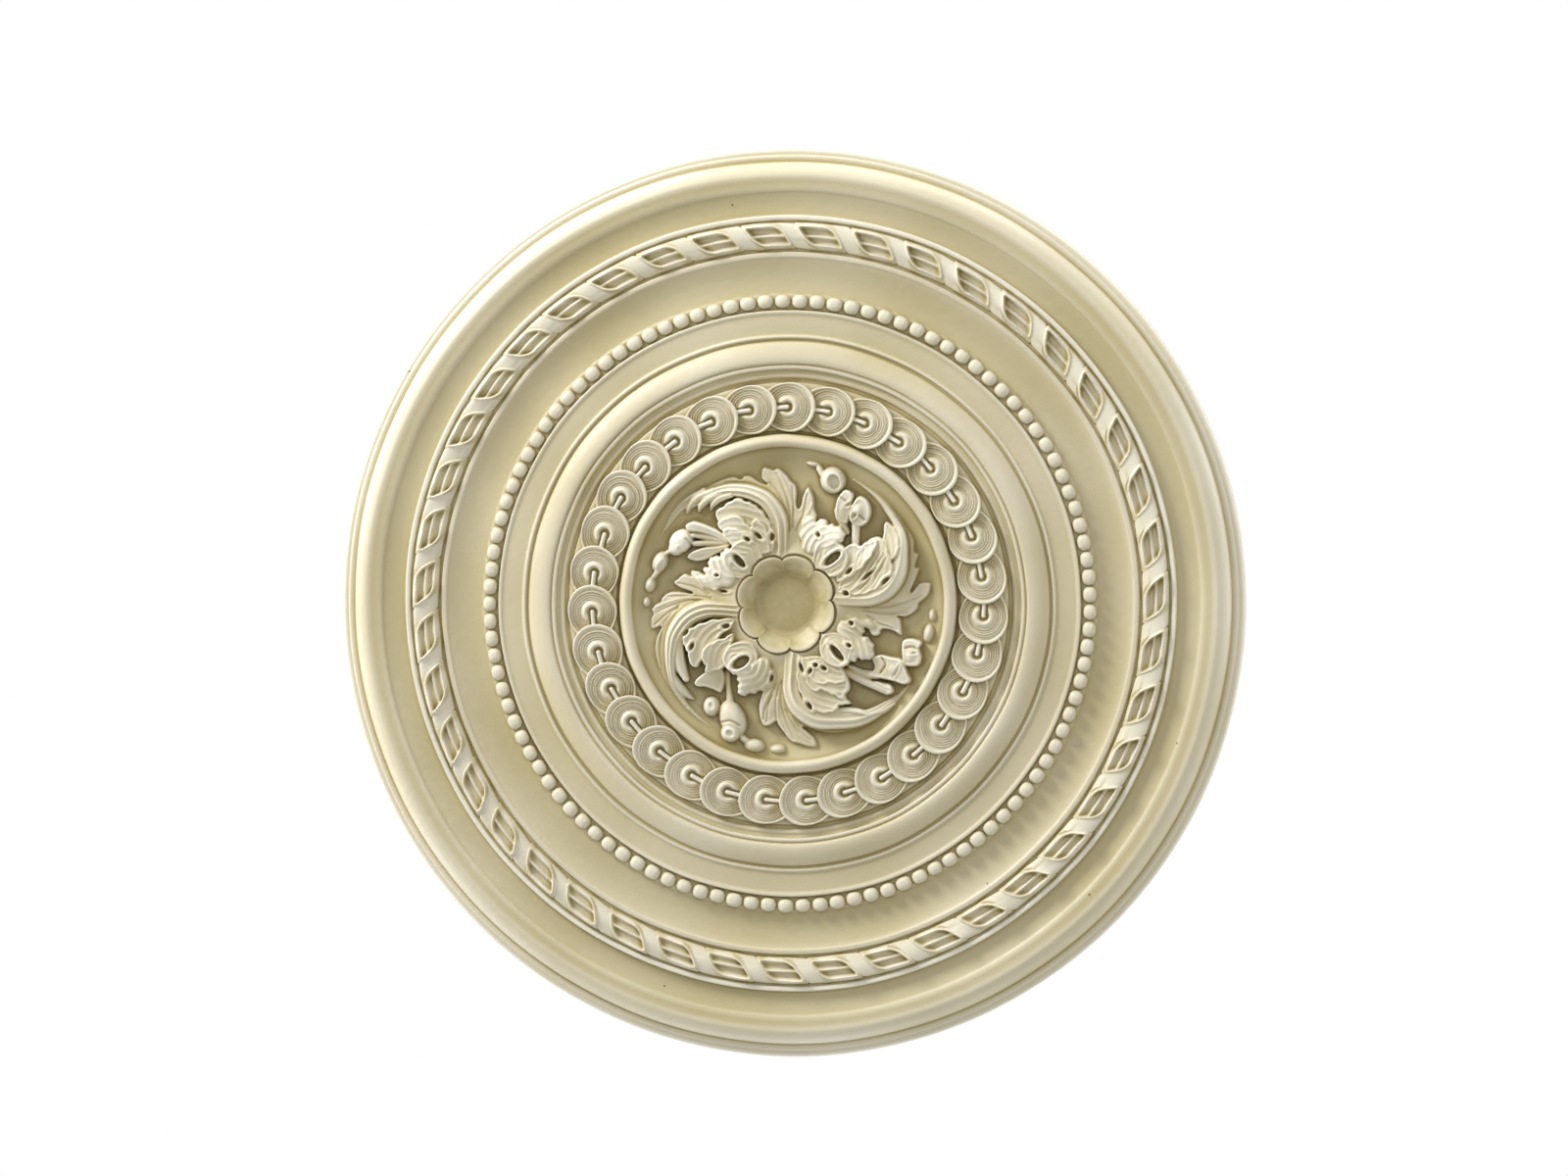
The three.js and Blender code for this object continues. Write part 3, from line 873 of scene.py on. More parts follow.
# The four leaves, each as if it sprang upwards from the centre and curled to the left. They differ, as
# each was carved by itself. In every list x and y come first; then
#   back, flaps, curl, front, sepals: outlines, with the height there
#   scroll, drops, stems: routes, with half width and crest height
#   veins, ridges, cuts: routes alone
#   folds and deep: number and depth of the scroll's folds
#   pleats: the first and the last of a set of parallel hollows, and their number
#   eye and hole: middle of the curl, with the hole's half length, half width and turn in degrees
#   eyelets: half length, half width and turn
#   buds: half length, half width, turn and crest height
#   dents: half length, half width, turn and depth
LEAF_FORMS = [
    # Upwards
    {
        "back": [
            (-8, 36, 41), (9, 36, 41), (12, 50, 38), (13.5, 61, 36), (18, 69, 35), (25, 73, 34.5),
            (23, 80, 33.5), (22, 90, 32.5), (17.5, 97.5, 32), (13, 91, 32), (11.5, 83.5, 32.6),
            (9.5, 80, 33), (7.6, 84, 33), (8, 92, 32.4), (7, 99, 32), (3, 103, 31.8), (1, 106, 31.6),
            (-3, 110, 31.4), (-8, 113, 31.2), (-12, 111.5, 31.2), (-16, 113, 31), (-21, 113, 30.8),
            (-22, 104, 30.4), (-17, 99.5, 31), (-24, 102, 30.4), (-31, 106.5, 30), (-37, 106.5, 29.8),
            (-39, 104, 29.8), (-46, 106, 29.6), (-55, 104, 29.4), (-64, 100, 29.4), (-74, 95, 29.2),
            (-84, 87, 29.2), (-95, 76, 29), (-106, 57, 28.6), (-100, 62, 29), (-88, 76, 29.4),
            (-70, 88, 30), (-40, 94, 32), (-15, 84, 35),
        ],
        "veins": [
            [(2, 62), (2, 80), (-3, 96), (-10, 110)],
            [(4, 64), (5.5, 82), (4.5, 98)],
            [(0, 76), (-7, 92), (-15, 101)],
            [(8, 62), (14, 76), (17, 92)],
            [(-18, 94), (-34, 101), (-52, 101)],
        ],
        "ridges": [
            [(10, 58), (16, 72), (21, 84)],
            [(3, 66), (3.5, 84), (-1, 98), (-6, 108)],
        ],
        "scroll": [
            (-6, 38, 9, 42), (-5.5, 55, 8, 43.5), (-7, 71, 8.4, 45), (-16, 85, 8, 45.6),
            (-30, 92.5, 7, 45), (-46, 94.5, 6, 43), (-60, 92, 5.4, 40), (-73, 87, 4.6, 36),
            (-84, 79, 2, 32),
        ],
        "folds": 3.0, "deep": 1.5,
        "drops": [
            [(-62, 94, 3, 39), (-74, 89, 3.6, 37), (-81, 82, 3, 34.5), (-84, 75.5, 1.4, 32)],
            [(-54, 92, 3, 41), (-65, 88, 3.6, 39.5), (-72, 82, 3, 37), (-74, 77, 1.4, 34)],
            [(-46, 91, 3, 42.5), (-56, 88, 3.6, 41), (-62, 83, 3, 38.5), (-64, 78.5, 1.4, 35)],
            [(-70, 95, 2.4, 35), (-84, 87, 2.6, 33), (-96, 75, 2.2, 31.5), (-106, 57, 1.2, 30.5)],
        ],
        "flaps": [
            [(-12, 42, 41.5), (-9, 56, 43.4), (-11, 64, 44), (-16, 73, 44.6), (-22, 80, 45),
             (-27, 83.5, 45), (-34, 86, 45.2), (-40, 88.5, 45.2), (-46, 86, 44.6), (-53, 81.5, 43.6),
             (-60, 76.5, 42), (-57, 68, 42), (-40, 66, 42.5), (-26, 60, 43)],
            [(-13, 42, 42), (-14, 54, 44), (-15, 62, 44.8), (-19, 68, 45.6), (-24, 72, 46),
             (-27, 70.5, 46), (-29.5, 65, 45.4), (-33, 68, 45.8), (-37, 73, 46), (-43, 74.5, 46),
             (-49, 73, 45.4), (-55, 70.5, 44.4), (-58.5, 67, 43), (-54, 60, 43), (-50, 53, 43),
             (-40, 46, 43)],
            [(-22, 42, 42.5), (-25, 54, 45), (-30, 60, 46), (-37, 61.5, 46.2), (-44, 64, 46),
             (-52, 63, 44.8), (-53, 58, 43.8), (-48, 51, 43.4), (-36, 44, 43)],
        ],
        "curl": [
            (-20, 28, 41), (-18.5, 38, 42.6), (-20.5, 47, 44), (-27, 53.5, 45.2), (-36, 54, 46),
            (-44, 50, 46), (-49, 43, 45), (-52, 35, 44), (-51, 27, 43), (-42, 21, 42), (-30, 21, 41),
        ],
        "eye": (-39, 36), "hole": (7.0, 2.9, -48),
        "front": [
            (-42, 18, 41.5), (-44, 30, 44), (-45, 40, 45.5), (-48, 47, 45.5), (-53, 44, 45),
            (-56, 40, 44.6), (-61, 39.5, 44.6), (-65.5, 36.5, 44), (-66, 31, 43.4), (-70.5, 29.5, 43),
            (-69, 25, 42.4), (-74, 25, 41.5), (-80, 28, 40.5), (-81, 22, 40), (-76, 15, 39.5),
            (-66, 11, 40), (-54, 13, 41),
        ],
        "eyelets": [
            (-11.5, 56, 3.4, 1.9, 85), (-23, 57, 4.2, 1.7, -40), (-32, 54, 2.6, 1.5, -35),
            (-58, 24, 1.8, 1.5, 0),
        ],
        "stems": [
            [(-50, 52, 3, 39), (-64, 55, 3, 38.6), (-78, 57, 2.6, 39.4)],
            [(-50, 51, 3, 38.6), (-64, 50.5, 3, 38), (-79, 50, 2.6, 38.6)],
            [(-94, 46, 3, 38), (-101, 42, 2, 36.5)],
            [(-109, 27, 2.6, 36), (-113, 22, 2.2, 35)],
        ],
        "sepals": [
            [(-46, 54, 41), (-56, 61, 40.6), (-66, 65.5, 41), (-74, 68, 41.4), (-79, 68.5, 41.6),
             (-85, 65, 41), (-82, 60, 41), (-72, 58.5, 40), (-60, 55, 39), (-50, 50, 39)],
            [(-46, 50, 40), (-58, 48.5, 39.4), (-68, 47.5, 39.4), (-77, 45, 39.4), (-82, 42, 38.6),
             (-84, 38, 37.4), (-77, 35, 36.6), (-68, 36, 36.6), (-60, 40, 37.4), (-52, 44, 38.6)],
        ],
        "buds": [
            (-88.5, 52, 11.5, 9.5, 40, 43), (-93, 46, 7, 6.5, 0, 41), (-107, 34.5, 10, 6.6, 62, 38.5),
            (-116, 15.5, 7.5, 5, 78, 36), (-119, 1, 5.5, 4, 85, 34.5),
        ],
        "dents": [
            (-89, 46, 1.6, 1.2, 0, 1.2), (-106, 31, 4, 1.6, 62, 0.8),
        ],
        "cuts": [
            [(-84, 54), (-79.5, 48.5)],
            [(-79.5, 48.5), (-84, 42)],
        ],
    },
    # To the left
    {
        "back": [
            (-8, 36, 41), (9, 36, 41), (11, 50, 38), (13, 60, 36.5), (16, 68, 36), (26, 72, 36),
            (27, 78, 35), (23, 80, 34.4), (25, 86, 33.4), (21, 92, 32.6), (17.5, 96, 32), (13, 91, 32),
            (10.5, 83, 33), (8.6, 80, 33.4), (9.5, 88, 33), (10, 96, 32.4), (8, 102.5, 32),
            (4, 106.5, 32), (1.5, 107, 31.8), (-1, 111.5, 31.6), (-5, 115, 31.4), (-9, 113.5, 31.4),
            (-14, 115.5, 31.2), (-22, 114.5, 31), (-20, 107, 31), (-28, 110.5, 30.4), (-38, 112, 30),
            (-50, 110, 29.8), (-62, 105.5, 29.6), (-73, 99, 29.4), (-84, 90.5, 29.2), (-95, 79, 29),
            (-106, 62, 28.6), (-96, 72, 29), (-80, 86, 30), (-50, 96, 32), (-15, 84, 35),
        ],
        "veins": [
            [(2, 62), (3, 80), (-2, 98), (-8, 111)],
            [(5, 64), (6.5, 82), (6, 101)],
            [(8, 66), (14, 78), (17, 92)],
            [(-3, 92), (-16, 103), (-32, 107), (-52, 106)],
            [(-1, 90), (-10, 103), (-18, 112)],
        ],
        "ridges": [
            [(4, 66), (5, 84), (2, 98), (-3, 110)],
            [(-6, 94), (-20, 105), (-36, 109.5), (-54, 107)],
        ],
        "scroll": [
            (-6, 38, 9, 42), (-4.5, 55, 8, 43.5), (-5, 70, 9, 45), (-12, 84, 9, 46), (-26, 94, 8, 46),
            (-42, 97, 6, 44.5), (-57, 97, 4.6, 42), (-70, 94, 4, 38), (-84, 86, 2.6, 34),
            (-99, 73, 1.2, 31),
        ],
        "folds": 4.0, "deep": 1.4,
        "drops": [
            [(-24, 88, 4, 43), (-38, 91, 5, 43), (-52, 89.5, 5, 42), (-63, 85, 3, 40)],
            [(-60, 96, 3, 40), (-69, 91, 4, 38), (-76, 85, 3.4, 35.5), (-80, 79.5, 1.4, 33)],
            [(-76, 92, 2.6, 35), (-88, 83, 2.8, 33), (-98, 72, 2.2, 31.5), (-106, 60, 1.2, 30.5)],
        ],
        "flaps": [
            [(-13, 42, 41.5), (-12.5, 56, 43.6), (-15, 68, 44.6), (-19, 78, 45), (-23, 85.5, 45),
             (-30, 87, 45.2), (-36, 85, 45.2), (-41, 82.5, 45), (-46, 82, 44.6), (-52, 80, 43.8),
             (-53.5, 76, 43), (-49, 72, 43), (-38, 64, 43), (-26, 54, 43)],
            [(-24, 44, 42.5), (-28, 52, 44), (-31, 61, 45.2), (-35.5, 68, 46), (-41, 71, 46.2),
             (-47, 70.5, 46), (-52, 68, 45), (-57.5, 68.5, 43.8), (-56.5, 60, 43.4), (-54, 53, 43.4),
             (-48, 49, 43.4), (-36, 46, 43)],
        ],
        "curl": [
            (-32, 28, 42), (-30.5, 37, 43.4), (-33, 46, 44.6), (-39, 51.5, 45.4), (-46, 53.5, 45.8),
            (-54, 50, 45.4), (-58, 43, 44.6), (-58, 34, 44), (-52, 26, 43), (-42, 23, 42),
        ],
        "eye": (-48.5, 38), "hole": (8.0, 4.4, -58),
        "front": [
            (-44, 16, 41.5), (-48, 28, 44), (-52, 42, 45), (-56, 47.5, 45), (-60, 42, 44.4),
            (-66, 40.5, 44.2), (-71, 41.5, 43.6), (-76, 40.5, 42.6), (-75, 31, 42), (-73, 23, 41),
            (-72, 15, 40), (-62, 11, 40.4), (-52, 12, 41),
        ],
        "eyelets": [
            (-18.5, 50.5, 3.4, 2.0, 100), (-35.5, 79, 3.4, 1.7, -25), (-24, 84, 3.8, 1.6, -40),
            (10.5, 53, 3.4, 1.1, 85),
        ],
        "stems": [
            [(-54, 50, 2.6, 33.5), (-70, 50, 2.8, 32.5), (-84, 48, 4, 34)],
            [(-112, 37, 3, 37), (-115, 33, 3, 36)],
        ],
        "sepals": [
            [(-51, 57, 38.5), (-55, 66, 39.4), (-60.5, 74, 39.8), (-65.5, 78, 39.8), (-69.5, 76, 39),
             (-70, 69, 37.4), (-72, 63, 36), (-75, 56, 34.6), (-68, 52.5, 34.4), (-58, 52, 36)],
        ],
        "buds": [
            (-86, 63.8, 8.8, 7.4, 0, 39.6), (-96, 46, 16.5, 11, 22, 41), (-107, 47, 8.5, 9, 20, 42),
            (-118, 28, 6.4, 9.8, -8, 37.5), (-121, 8, 4.8, 8, 0, 35),
        ],
        "dents": [
            (-85, 63.4, 3.0, 2.2, 20, 1.4), (-107.5, 47, 3.6, 2.8, 60, 1.8),
        ],
        "cuts": [
            [(-101, 39), (-97, 47), (-99, 55)],
        ],
    },
    # Downwards
    {
        "back": [
            (-8, 36, 41), (9, 36, 41), (12, 50, 38), (12, 60, 37), (15, 67, 36), (20, 72, 35),
            (23, 80, 34.4), (24, 88, 33.6), (22.5, 97, 33), (19.5, 102, 32.6), (14, 101, 32.6),
            (9.5, 98, 32.6), (8.4, 100, 32.4), (3, 107.5, 32.2), (-1, 113, 32), (-5, 116, 31.8),
            (-10, 117, 31.6), (-17, 119.5, 31.2), (-25, 119.5, 31), (-24, 113, 31), (-18, 107, 31),
            (-14, 103, 31.4), (-28, 107, 30.6), (-40, 108, 30), (-56, 106, 29.6), (-70, 100.5, 29.4),
            (-83, 91, 29.2), (-95, 79, 29), (-105, 64, 28.6), (-96, 72, 29), (-80, 86, 30),
            (-50, 96, 32), (-15, 84, 35),
        ],
        "veins": [
            [(4, 64), (5, 80), (1, 96), (-6, 112)],
            [(6, 66), (9, 82), (8.6, 98)],
            [(9, 66), (15, 80), (17, 98)],
            [(1, 88), (-8, 104), (-20, 114)],
            [(12, 76), (19, 88), (20, 96)],
        ],
        "ridges": [
            [(8, 78), (8, 92), (3, 106)],
            [(12, 70), (19, 82), (21, 94)],
            [(-2, 92), (-12, 108), (-22, 117)],
        ],
        "scroll": [
            (-6, 38, 9, 42), (-4.5, 55, 8, 43.5), (-4.5, 72, 8.4, 45), (-11, 86, 9, 45.6),
            (-24, 95, 9, 45), (-40, 96.5, 8.4, 44), (-56, 96, 7.6, 42), (-70, 92, 6, 38.6),
            (-84, 84, 4, 34.6), (-98, 73, 1.6, 31),
        ],
        "folds": 3.0, "deep": 1.1,
        "drops": [
            [(-38, 90, 3, 42), (-48, 88.5, 3.4, 42), (-60, 89.5, 3.4, 41), (-69, 92, 2, 39.4)],
            [(-64, 92, 3, 39), (-74, 90.5, 3.4, 37.6), (-82, 88, 3, 36), (-90, 83, 1.6, 34)],
            [(-76, 92, 2.6, 35), (-88, 83, 2.8, 33), (-98, 72, 2.2, 31.5), (-105, 62, 1.2, 30.5)],
        ],
        "flaps": [
            [(-12, 42, 41.5), (-9, 54, 43.4), (-9.5, 66, 44.2), (-13, 76, 44.6), (-18, 84, 45),
             (-27, 90, 45), (-36, 90.5, 45), (-42, 89, 44.6), (-45, 84.5, 44.4), (-49, 84, 44),
             (-54, 82.5, 43.2), (-50.5, 78.5, 43.2), (-49, 75, 43.4), (-53, 71, 43), (-52, 64, 43),
             (-34, 60, 43)],
            [(-13, 44, 42), (-15, 54, 44), (-16.5, 63, 44.8), (-19, 69, 45.4), (-25, 73.5, 46),
             (-30, 71.5, 46), (-35, 73.5, 46), (-41, 76, 45.8), (-47.5, 79.5, 45), (-50, 75, 44.4),
             (-52.5, 68, 43.6), (-51, 60, 43), (-47, 53, 43), (-40, 47, 43)],
            [(-18, 48, 43), (-19, 58, 45), (-22, 64, 46), (-28, 67, 46.4), (-37, 66, 46.4),
             (-46, 66, 45.4), (-51.5, 63, 44), (-50, 58, 43.6), (-45, 51, 43.4), (-34, 46, 43)],
        ],
        "curl": [
            (-29, 26, 42), (-27.5, 35, 43.4), (-29.5, 44, 44.6), (-36, 50.5, 45.6), (-45, 53, 46),
            (-52, 49.5, 45.2), (-56, 42, 44.6), (-57, 33, 44), (-50, 26, 43), (-40, 22.5, 42),
        ],
        "eye": (-43, 40.5), "hole": (8.6, 2.9, -50),
        "front": [
            (-42, 16, 41.5), (-46, 28, 44), (-52, 42, 45), (-56, 48.5, 45), (-60, 45, 44.4),
            (-66, 46.5, 43.8), (-72.5, 45, 42.8), (-73, 38, 42.4), (-70.5, 30, 42), (-64, 25.5, 42),
            (-66, 20, 41), (-74, 21, 39.6), (-76, 15, 39), (-64, 11, 40), (-52, 12, 41),
        ],
        "eyelets": [
            (-32, 53, 2.6, 1.7, -30), (-25, 50.5, 2.1, 1.6, 0), (-20.5, 55.5, 2.6, 1.5, 70),
            (-12.8, 52.5, 4.4, 1.5, -70), (-20, 84.5, 3.8, 1.8, -55), (-53, 34, 2.2, 1.5, -30),
            (12.8, 61.5, 3.4, 1.1, 80),
        ],
        "stems": [
            [(-48, 56, 3.4, 37), (-62, 63, 3.6, 37.4), (-76, 69, 3.6, 37.6), (-84, 72, 4, 38)],
            [(-52, 52, 2.6, 35), (-64, 58, 4, 35.6), (-76, 59, 4, 37)],
        ],
        "sepals": [
            [(-72, 64, 36.6), (-80, 69, 37.4), (-85, 75.5, 38.4), (-90, 73, 38.6), (-88, 67, 38),
             (-80, 64, 36.6)],
            [(-68, 60, 36.4), (-80, 62.5, 38), (-90, 64.5, 39.6), (-98, 67, 40.4), (-104.5, 64, 40),
             (-102, 57, 40.4), (-99.5, 50, 40.4), (-96, 45, 40), (-88, 43.5, 39.4), (-78, 41.5, 38),
             (-71, 45, 36.6), (-73, 53, 36.8)],
            [(-98, 51, 39), (-104, 52, 40), (-111, 51, 39.6), (-113.5, 44, 39.4), (-111.5, 37, 39.4),
             (-113, 31, 38), (-104, 28, 37.6), (-97, 30, 38), (-96, 38, 39), (-97, 46, 39.4)],
        ],
        "buds": [
            (-90, 54, 8, 8, 0, 41), (-104, 44, 7, 7, 0, 41), (-118, 24, 4.8, 9, -8, 36.5),
            (-121, 9, 3.8, 6.5, 0, 34.6),
        ],
        "dents": [
            (-81, 65.2, 6.5, 1.5, -22, 3.0), (-107, 40.5, 3, 0.9, 10, 1.2), (-92, 56, 5, 1.0, 60, 1.2),
        ],
        "cuts": [
            [(-80, 44), (-83, 50), (-79, 57)],
            [(-110, 37), (-105, 35), (-100, 36)],
        ],
    },
    # To the right
    {
        "back": [
            (-8, 36, 41), (9, 36, 41), (12, 50, 38), (15, 60, 36.6), (19, 67, 35.6), (26, 71, 35),
            (26, 77, 34.4), (21, 80, 34), (22, 88, 33), (26, 95.5, 32.4), (19, 95.5, 32.2),
            (12, 94.5, 32.4), (10, 92, 32.6), (10.4, 98, 32.4), (8, 104, 32), (3, 109, 31.8),
            (-1, 110, 31.8), (-4, 114, 31.6), (-9, 118.5, 31.4), (-17.5, 119.5, 31), (-18, 110.5, 31),
            (-10, 103, 31.6), (-20, 107, 30.8), (-30, 110.5, 30.2), (-31.5, 107, 30), (-42, 110, 29.8),
            (-44, 106.5, 29.8), (-54, 106, 29.6), (-66, 99, 29.4), (-78, 90.5, 29.2), (-90, 79, 29),
            (-104, 57, 28.6), (-98, 62, 29), (-84, 80, 30), (-50, 96, 32), (-15, 84, 35),
        ],
        "veins": [
            [(2, 62), (3, 80), (-1, 97), (-7, 113)],
            [(5, 64), (8, 82), (7, 101)],
            [(10, 68), (17, 80), (21, 92)],
        ],
        "ridges": [
            [(14, 74), (17, 86), (24, 94.5)],
            [(3, 70), (5, 88), (1, 102)],
        ],
        "scroll": [
            (-6, 38, 9, 42), (-5, 55, 8, 43.5), (-6, 71, 8, 45), (-13, 84, 8.4, 45.8),
            (-26, 92.5, 8, 45.4), (-42, 96, 6, 44), (-56, 96, 4.6, 41.6), (-68, 91, 3.6, 37.4),
            (-79, 83, 2.6, 34), (-88, 75, 1.2, 31.6),
        ],
        "folds": 3.0, "deep": 0.6,
        "drops": [
            [(-74, 89, 2.4, 35), (-84, 80, 3, 33.4), (-94, 69, 2.4, 31.6), (-104, 55, 1.2, 30.5)],
        ],
        "flaps": [
            [(-36, 86, 43.6), (-38, 91, 44), (-44, 94.5, 44.2), (-52, 95, 44), (-60, 93, 43),
             (-66, 88, 42), (-69, 82, 41), (-60, 80.5, 41.4), (-50, 81.5, 42.6)],
            [(-11, 42, 41.5), (-8, 52, 43), (-7.5, 62, 43.6), (-10, 71, 44.2), (-15, 79, 44.6),
             (-21, 85.5, 45), (-29, 90, 45), (-36, 89, 45), (-43, 86.5, 44.8), (-50, 83.5, 44.2),
             (-55, 80, 43.6), (-56.5, 74, 43.4), (-51, 66, 43.6), (-34, 56, 43.6)],
            [(-18, 42, 42), (-21, 52, 44), (-27, 60, 45.2), (-35, 68, 46), (-44, 74, 46),
             (-54, 77, 44.6), (-53, 70, 44), (-49, 62, 43.8), (-51, 55, 43.4), (-46, 48, 43.4),
             (-34, 44, 43)],
        ],
        "pleats": [
            ([(-40, 85), (-30, 79), (-16, 72)], [(-46, 76), (-34, 68), (-18, 58)], 4),
            ([(-27, 73), (-18, 67), (-11, 60)], [(-27, 73), (-18, 67), (-11, 60)], 1),
        ],
        "curl": [
            (-24, 26, 42), (-22, 36, 43.4), (-24, 45, 44.6), (-31, 51.5, 45.6), (-40, 53, 46),
            (-48, 49, 45.6), (-53, 41, 45), (-54, 32, 44), (-46, 24, 43), (-34, 21.5, 42),
        ],
        "eye": (-38.5, 39), "hole": (8.6, 3.6, -50),
        "front": [
            (-42, 16, 41.5), (-45, 30, 44), (-50, 44, 45.4), (-55, 48.5, 45.4), (-62, 48, 44.8),
            (-65.5, 41, 44), (-67, 35, 43.4), (-71, 32, 42.6), (-70, 25, 42), (-74, 24, 41),
            (-74, 15, 40), (-64, 11, 40.4), (-52, 12, 41),
        ],
        "eyelets": [
            (-28, 53, 3.6, 1.7, -45), (-20, 83, 4.8, 1.6, -45), (-24.5, 68.5, 6.4, 1.3, -48),
            (-9.5, 50, 2.6, 2.0, 70), (15.5, 54.5, 2.4, 1.8, 40), (-58, 27, 2.4, 1.6, 30),
        ],
        "stems": [
            [(-48, 57, 3.6, 39), (-60, 57.5, 3.6, 38.6), (-70, 58, 4, 39)],
            [(-60, 50, 3, 36), (-70, 45, 3.6, 36.6), (-78, 42, 3, 37)],
            [(-108, 30, 3, 37), (-113, 27, 3, 35.5)],
        ],
        "sepals": [
            [(-64, 60, 38.6), (-67, 67, 40), (-74, 70.5, 41.4), (-82, 70, 41.6), (-88, 66, 41),
             (-90, 60, 40.6), (-84, 55, 41), (-76, 52, 40.4), (-68, 53, 39)],
            [(-66, 50, 37), (-70, 41, 37.4), (-77, 40, 38.6), (-84, 41, 39.6), (-90, 43, 40),
             (-96, 49, 40), (-92, 56, 40.4), (-84, 55, 40.6), (-76, 54, 39)],
        ],
        "buds": [
            (-79, 60, 8, 7, 0, 43), (-103.5, 38.5, 11.5, 11, 20, 41.5), (-117, 22, 3, 8, -12, 34),
        ],
        "dents": [
            (-83.5, 53, 3.6, 1.3, -60, 3.0), (-74, 57, 3, 1.6, -40, 2.0), (-102, 40, 6.6, 5.2, 20, 3.6),
        ],
        "cuts": [
            [(-90, 44), (-86, 50)],
            [(-70, 66), (-74, 61)],
        ],
    },
]


# Room view x, y and reach of the high lobes that get a painted highlight
HIGHLIGHTED_LOBES = [(-60, 28, 24), (-50, 60, 18), (-90, 54, 15), (28, 60, 24), (60, 50, 18)]


def leaf_shade_offsets(points):
    """The leaves are made a little lighter than the mouldings, and some high lobes get a painted highlight.
    """
    highlight_share = np.zeros(len(points))
    for x, y, reach in HIGHLIGHTED_LOBES:
        away = np.hypot(points[:, 0] - x, points[:, 1] - y)
        highlight_share = np.maximum(highlight_share, smooth_step(-away, -reach, -0.4 * reach))
    return LEAF_SHADE_OFFSET + LOBE_HIGHLIGHT * highlight_share * smooth_step(points[:, 2], 34.0, 40.0)


def leaf_ring():
    """Four leaves over the dish, made as four quarters of one carved surface."""
    inner = LEAVES["inner"]
    outer = LEAVES["outer"]
    columns = int(round(2 * math.pi * 100 / LEAVES["cell"] / LEAVES["quarters"])) * LEAVES["quarters"]
    rows = int(round((outer - inner) / LEAVES["cell"])) + 1
    radii = np.linspace(inner, outer, rows)
    angles = np.arange(columns) * 2 * math.pi / columns
    radius, angle = np.meshgrid(radii, angles, indexing="ij")
    floor = front_height(radius) - BURIED
    relief = Relief((radius * np.cos(angle)).ravel(), (radius * np.sin(angle)).ravel(), floor.ravel().copy())
    collar(relief)
    for quarter, leaf in enumerate(LEAF_FORMS):
        relief.turn(quarter)
        leaf_back(relief, leaf)
    for quarter, leaf in enumerate(LEAF_FORMS):
        relief.turn(quarter)
        bud_chain(relief, leaf)
        scroll(relief, leaf)
        turned_fold(relief, leaf)
        curl(relief, leaf)
    for quarter, leaf in enumerate(LEAF_FORMS):
        relief.turn(quarter)
        eyelets(relief, leaf)
    petal_groove(relief)
    height = relief.height.reshape(rows, columns)
    soft = (np.roll(height, 1, axis=1) + 2 * height + np.roll(height, -1, axis=1)) / 4
    soft[1:-1] = (soft[:-2] + 2 * soft[1:-1] + soft[2:]) / 4
    soft = np.maximum(soft, floor - BURIED)
    under = floor.min() - 3.0
    shapes = []
    share = columns // LEAVES["quarters"]
    for quarter in range(LEAVES["quarters"]):
        picked = np.arange(quarter * share, (quarter + 1) * share + 1) % columns
        section = np.vstack([soft[:, picked], np.full((2, len(picked)), under)])
        ring = np.vstack([radius[:, picked], radius[-1:, picked], radius[:1, picked]])
        turn = np.vstack([angle[:, picked], angle[-1:, picked], angle[:1, picked]])
        shape = Shape()
        add_tube(shape, polar_grid(ring, turn, section), wrap_columns=False)
        shape.shade_offsets = [leaf_shade_offsets(shape.points())]
        shapes.append(shape)
    return shapes


# The plaster

def node(tree, kind, **values):
    made = tree.nodes.new(kind)
    for name, value in values.items():
        setattr(made, name, value)
    return made


def noise(tree, vector, scale, detail, roughness=0.5):
    made = node(tree, "ShaderNodeTexNoise")
    made.inputs["Scale"].default_value = scale
    made.inputs["Detail"].default_value = detail
    made.inputs["Roughness"].default_value = roughness
    tree.links.new(vector, made.inputs["Vector"])
    return made.outputs["Fac"]


def ramp(tree, factor, stops):
    made = node(tree, "ShaderNodeValToRGB")
    elements = made.color_ramp.elements
    while len(elements) < len(stops):
        elements.new(0.5)
    for element, (place, colour) in zip(elements, stops):
        element.position = place
        element.color = (*colour, 1.0)
    tree.links.new(factor, made.inputs["Fac"])
    return made.outputs["Color"]


def remap(tree, value, low, high, to_low, to_high, blend="SMOOTHSTEP"):
    made = node(tree, "ShaderNodeMapRange", interpolation_type=blend)
    tree.links.new(value, made.inputs["Value"])
    for name, number in zip(("From Min", "From Max", "To Min", "To Max"), (low, high, to_low, to_high)):
        made.inputs[name].default_value = number
    return made.outputs["Result"]


def mix_colour(tree, mode, factor, first, second):
    made = node(tree, "ShaderNodeMix", data_type="RGBA", blend_type=mode)
    if isinstance(factor, float):
        made.inputs["Factor"].default_value = factor
    else:
        tree.links.new(factor, made.inputs["Factor"])
    for socket, colour in ((made.inputs[6], first), (made.inputs[7], second)):
        if isinstance(colour, tuple):
            socket.default_value = (*colour, 1.0)
        else:
            tree.links.new(colour, socket)
    return made.outputs[2]


def bump(tree, height, strength, depth, under=None):
    """Shades the surface as if the height stood out of it, on top of the bumps under it."""
    made = node(tree, "ShaderNodeBump")
    made.inputs["Strength"].default_value = strength
    made.inputs["Distance"].default_value = depth
    tree.links.new(height, made.inputs["Height"])
    if under is not None:
        tree.links.new(under, made.inputs["Normal"])
    return made.outputs["Normal"]


# Colours of the darkest and of the lightest clouds in the plaster
CLOUDS = [(0.3, (0.782, 0.735, 0.600)), (0.7, (0.822, 0.776, 0.641))]
